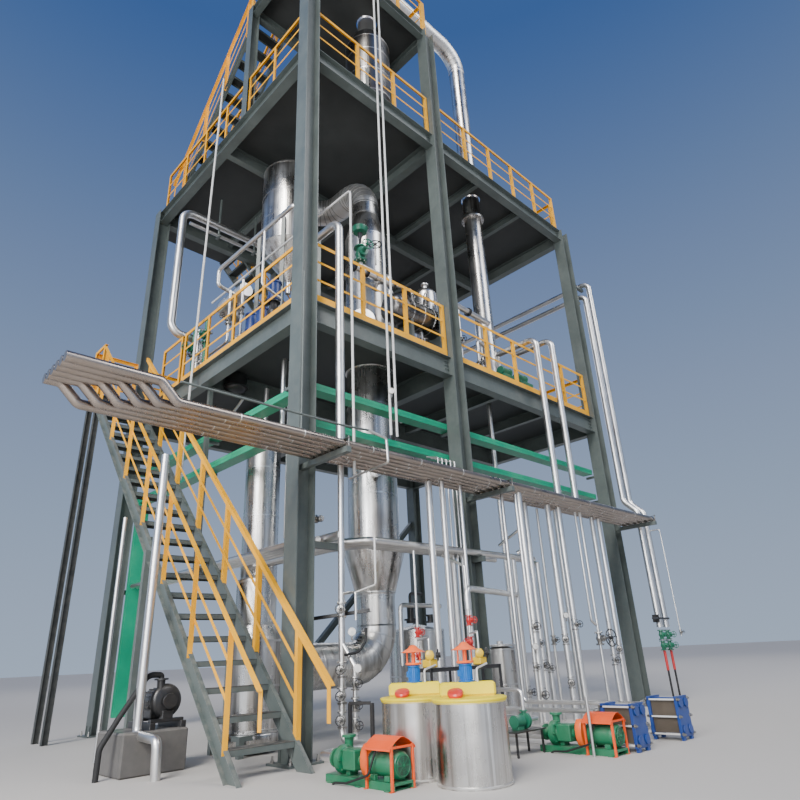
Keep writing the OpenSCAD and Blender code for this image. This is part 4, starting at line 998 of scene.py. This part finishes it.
for x in (1.62, 2.14):
    for y in (-2.12, -1.90):
        dark += angle((x, y, 0), (x, y, 0.26), (0, -1, 0), 0.035)
dark.append(bar((1.58, -2.16, 0.255), (2.18, -1.86, 0.27)))
dark.append(bar((0.97, -1.46, 0.985), (2.30, -1.14, 0.995), 0.001))
weld("angle_stands", dark, enamel_black)


# Small skid beside the dosing tanks: two yellow dosing pumps with black hand
# knobs on the bench, a little green pump on its table, and their lines.
enamel_yellow = paint("enamel_yellow", (0.75, 0.48, 0.01), 0.38, 0.2, 0.15, 0.2)
doser_x, doser_y = (1.09, 2.06), -1.30
dosers = []
for x in doser_x:
    neck = turned([(1.09, 0.05), (1.10, 0.055), (1.19, 0.045), (1.20, 0.02)], 16)
    flank = turned([(0, 0.03), (0.004, 0.055), (0.09, 0.055), (0.10, 0.04)], 20)
    dosers += [bar((x - 0.07, doser_y - 0.07, 1.0), (x + 0.07, doser_y + 0.07, 1.09), 0.01),
               put(neck, (x, doser_y, 0)), put(flank, (x, doser_y, 1.14), (-0.7, -0.7, 0))]
weld("dosing_pumps", dosers, enamel_yellow)
knobs = [put(one(wheel(0.06, 0.012, 4)), (x + 0.09, -1.36, 1.14), (0.7, -0.7, 0)) for x in doser_x]
weld("doser_wheels", knobs, enamel_black)
little = [(0, 0.03), (0.005, 0.07), (0.16, 0.07), (0.165, 0.03), (0.20, 0.03), (0.205, 0.09), (0.25, 0.09),
    (0.255, 0.04)]
spout = [(0, 0.03), (0.10, 0.03), (0.101, 0.05), (0.115, 0.05), (0.116, 0.02)]
weld("little_pump", [put(turned(little, 20), (1.72, -2.02, 0.36), (1, 0, 0)),
                     put(turned(spout, 14), (1.94, -2.02, 0.36)),
                     bar((1.74, -2.07, 0.27), (1.86, -1.97, 0.31), 0.004)], enamel_green)
weld("little_pump_lines", [
    pipe([(1.94, -2.02, 0.46), (1.94, -2.02, 0.70), (1.94, -1.0, 0.70), (2.17, -0.50, 0.70)], 0.05),
    pipe([(1.98, -2.02, 0.36), (2.25, -2.02, 0.36), (2.25, -1.2, 0.36), (2.25, -0.5, 0.36)], 0.05),
    pipe([(2.62, -0.70, 1.76), (2.62, -0.70, 2.07), (4.50, -0.26, 2.07)], 0.10, 1.1, 4),
    pipe([(doser_x[0], doser_y, 1.2), (doser_x[0], doser_y, 1.35), (1.75, -0.46, 1.35)], 0.03),
    pipe([(doser_x[1], doser_y, 1.2), (doser_x[1], doser_y, 1.42), (2.62, -0.70, 1.42)], 0.03)], steel_pipe)
drape = [(0.74, -0.50, 1.51), (0.72, -0.52, 1.36), (0.60, -0.52, 1.22), (0.38, -0.50, 1.19)]
weld("black_hose", [pipe(drape, 0.035, 5, 4)], rubber)


# Tail of the right risers: clamp bar, hoses of red and black coated pipe down
# to the slab, and a thin sample tube with a small cock.
tail_y, cock_x, cock_y = -0.56, right_x + 0.35, -0.85
weld("clamp_bar", [bar((right_x - 0.4, -0.64, 1.66), (right_x + 0.40, -0.60, 1.70), 0.003),
    bar((right_x - 0.16, -0.64, 1.60), (right_x - 0.12, -0.50, 1.76), 0.003)], enamel_black)
weld("red_hoses", [pipe([(x, tail_y, 1.05), (x, tail_y, 0.62)], 0.06) for x in right_pair], enamel_red)
weld("black_pipes", [pipe([(x, tail_y, 0.64), (x, tail_y, 0.0)], 0.045) for x in right_pair], rubber)
sample = pipe([(right_pair[1], tail_y, 3.66), (cock_x, cock_y, 3.66), (cock_x, cock_y, 1.30)], 0.032, 2)
weld("sample_tube", [sample], steel_pipe)
weld("sample_cock", valve_row([(cock_x, cock_y, 1.38, 4.2, 0.4)]))


# Column and vessel extras: manway and nozzles on the main column, sight gauge
# on the receiver, dark fittings on the rear tank and the small tank's lid.
extra = []
for z, degrees, reach, radius in ((7.45, 215, 0.14, 0.24), (4.3, 235, 0.16, 0.07), (5.5, 300, 0.16, 0.07),
                                  (8.05, 330, 0.18, 0.08), (6.9, 160, 0.16, 0.09)):
    out = heading(degrees)
    lip = radius + 0.05
    nozzle = [(0, radius), (reach, radius), (reach + 0.001, lip), (reach + 0.03, lip),
        (reach + 0.031, radius + 0.045), (reach + 0.06, lip), (reach + 0.065, radius * 0.9),
        (reach + 0.075, radius * 0.3)]
    extra.append(put(turned(nozzle, 28), Vector((main_x, main_y, z)) + out * (main_r - 0.03), out))
weld("main_nozzles", extra, trim)
near, far, low, high = (0.82, 2.51), (0.72, 2.41), 0.6, 2.2
weld("level_gauge", [pipe([(*near, low), (*far, low), (*far, high), (*near, high)], 0.03)], steel_pipe)
rear_x, rear_y = middle("rear_tank")
rear_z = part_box("rear_tank")[1][2]
neck_x, neck_y = rear_x - 0.28, rear_y - 0.15
tall = [(0, 0.09), (0.05, 0.09), (0.051, 0.13), (0.08, 0.13), (0.081, 0.07), (0.30, 0.07), (0.301, 0.11),
    (0.33, 0.11), (0.335, 0.03)]
short = [(0, 0.10), (0.03, 0.10), (0.031, 0.06), (0.12, 0.06), (0.121, 0.10), (0.15, 0.10)]
bridge = pipe([(neck_x, neck_y, rear_z + 0.3), (neck_x, neck_y, rear_z + 0.55),
               (rear_x + 0.1, rear_y - 0.1, rear_z + 0.55)], 0.06, 1.3)
weld("tank_fittings", [put(turned(tall, 20), (neck_x, neck_y, rear_z)),
                       put(turned(short, 20), (rear_x + 0.1, rear_y - 0.3, rear_z)), bridge], enamel_black)
small_lid = [(-0.03, 0.272), (-0.02, 0.285), (0.004, 0.285), (0.012, 0.27), (0.02, 0.06), (0.07, 0.06),
    (0.075, 0.03)]
lid_spot = (*middle("small_tank"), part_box("small_tank")[1][2])
weld("small_tank_lid", [put(turned(small_lid, 36), lid_spot)], steel_pipe)


# More small lines seen from the front: the wide sheet cone round the foot of the
# main column, extra downcomers off the rack, drains and the vent lines above.
cone = [(2.19, 0.352), (2.21, 0.362), (2.90, 0.555), (2.95, 0.56), (2.955, 0.48)]
weld("cone_jacket", [fit(cone, 40, cladding, (main_x, main_y, 0))]
     + copies(dress(band(0.36, 0.03, 0.004, 40), trim), [((main_x, main_y, 2.21),)]))
drops = ((4.55, -0.24, 2.68, 0.10), (4.54, -0.595, 2.4, 0.05), (4.98, -0.461, 2.62, 0.085),
    (5.40, -0.327, 3.72, 0.055), (5.84, -0.461, 3.72, 0.10), (3.96, -0.863, 3.7, 0.06))
weld("small_lines", [pipe([(x, y, top), (x, y, 0)], thick) for x, y, top, thick in drops] + [
    pipe([(4.71, -0.461, 3.72), (4.71, -0.461, 2.9), (4.62, -0.30, 2.80)], 0.07, 1.2),
    pipe([(6.37, -0.595, 3.72), (6.37, -0.595, 1.62), (6.5, -0.595, 1.55)], 0.05, 1.2),
    pipe([(4.55, -0.10, 2.74), (5.05, -0.10, 2.74), (4.98, -0.461, 2.60)], 0.10, 1.1),
    pipe([(1.42, 0.17, 2.74), (4.55, 0.17, 2.74)], 0.10),
    pipe([(4.10, -0.3, 2.90), (4.06, -0.80, 3.10)], 0.05),
    pipe([(0.28, 4.7, 11.2), (2.0, 4.7, 11.2)], 0.17),
    pipe([(-0.05, 4.72, 10.94), (2.0, 4.72, 10.94)], 0.08),
    pipe([(2.83, 1.0, 1.0), (2.83, 1.0, 1.97), (3.85, 1.0, 1.97)], 0.08, 1.2),
    pipe([(0.32, -0.10, 3.0), (0.32, 0.55, 3.0)], 0.06),
    pipe([(feed_x, feed_y, 1.95), (feed_x, -0.62, 1.95), (feed_x, -0.62, 1.60)], 0.035, 1.2)], steel_pipe)
cocks = valve_row([(4.54, -0.595, 1.25, 4.2, 0.5), (4.98, -0.461, 0.85, 4.0, 0.6),
                   (5.40, -0.327, 1.30, 4.2, 0.6), (4.55, -0.24, 0.5, 4.4, 0.7),
                   (3.96, -0.863, 0.9, 4.2, 0.5)])
weld("line_valves", cocks + valve_row([(0.32, y, 3.0, 3.6, 0.55) for y in (0.0, 0.25)], along=(0, 1, 0)))
hangers = []
for x in (0.7, 1.7):
    hangers.append(bar((x - 0.02, 4.69, 10.9), (x + 0.02, 4.73, 12.05), 0.003))
    hangers.append(bar((x - 0.03, 4.60, 10.87), (x + 0.03, 4.82, 10.90), 0.003))
weld("pipe_hangers", hangers, slate)


# Diagonal brace of the rear bay: one long H section cut at a slant, welded
# from the foot of the middle column up to the corner column under deck one.
low_end, high_end = Vector((grid_x[1] + 0.20, grid_y[1], 0.16)), Vector((grid_x[2] - 0.13, grid_y[1], 5.0))
lean = (high_end - low_end).normalized().cross(Vector((0, 1, 0)))
brace = [plank(low_end + lean * s, high_end + lean * s, 0.14, 0.009, lean) for s in (0.07, -0.07)]
weld("rear_brace", brace + [plank(low_end, high_end, 0.14, 0.007, (0, 1, 0))], slate)


# Dished bottom pan under the sump tank, rolled from the same bright sheet, and
# a bolted ring joint above it.
sump = Vector((*middle("sump_tank"), 0))
pan = [(0.012, 0.20), (0.02, 0.30), (0.07, 0.40), (0.13, 0.455), (0.19, 0.47), (0.25, 0.475), (0.258, 0.47),
    (0.262, 0.41)]
joint = [(0.262, 0.405), (0.264, 0.44), (0.285, 0.44), (0.287, 0.402)]
weld("sump_pan", [fit(pan, 44, cladding, sump), fit(joint, 44, trim, sump)])
bolt_spots = [(sump + heading(15 * i) * 0.425 + up * 0.285,) for i in range(24)]
weld("sump_bolts", copies(bolt(0.018, 0.012, 0.006), bolt_spots), steel)


# Transfer pump on a cast concrete block under the first flight: round black
# casing on a channel base, motor behind it and a rubber hose down to the floor.
# The block's dark grey is concrete deepened with painted shade, as the block stands in shade.
concrete_in_shade = paint("concrete_in_shade", (0.085, 0.08, 0.075), 0.85, 0.5, 0.3, 0.3)
weld("pump_block", [bar((-1.74, 0.92, 0), (-0.94, 1.72, 0.46), 0.02)], concrete_in_shade)
heart = Vector((-1.17, 1.12, 0.76))
casing = [(-0.12, 0.03), (-0.12, 0.085), (-0.10, 0.09), (-0.098, 0.055), (-0.05, 0.06), (-0.04, 0.15),
    (-0.02, 0.185), (0.02, 0.20), (0.06, 0.185), (0.075, 0.15), (0.08, 0.08), (0.16, 0.06), (0.17, 0.12),
    (0.19, 0.135), (0.42, 0.135), (0.44, 0.12), (0.455, 0.03)]
outlet = [(0.10, 0.045), (0.24, 0.05), (0.242, 0.085), (0.262, 0.085), (0.264, 0.04)]
block_pump = [bar((x, 1.00, 0.455), (x + 0.07, 1.66, 0.535), 0.006) for x in (-1.40, -1.01)]
block_pump += [bar((-1.38, y, 0.53), (-0.96, y + 0.08, 0.57), 0.006) for y in (1.04, 1.50)]
block_pump.append(bar((-1.24, 1.04, 0.56), (-1.10, 1.14, 0.66), 0.01))
block_pump.append(bar((-1.28, 1.30, 0.56), (-1.06, 1.56, 0.66), 0.01))
block_pump.append(put(turned(casing, 36), heart, way))
block_pump.append(put(turned(outlet, 28), heart + Vector((-0.08, 0.02, 0))))
for i in range(16):
    rib = bar((-0.004, 0.20, 0.130), (0.004, 0.41, 0.150), 0.001)
    bpy.ops.object.mode_set(mode="EDIT")
    bpy.ops.mesh.select_all(action="SELECT")
    bpy.ops.transform.rotate(value=math.pi / 8 * i, orient_axis="Y", center_override=(0, 0.3, 0))
    bpy.ops.object.mode_set(mode="OBJECT")
    block_pump.append(put(rib, heart))
weld("block_pump", block_pump, enamel_black)
drape = [(-1.25, 1.14, 1.0), (-1.25, 1.14, 1.06), (-1.42, 1.14, 1.07), (-1.74, 1.10, 0.62),
         (-1.94, 1.05, 0.32), (-1.94, 1.05, 0.0)]
weld("block_hose", [pipe(drape, 0.07, 2)], rubber)
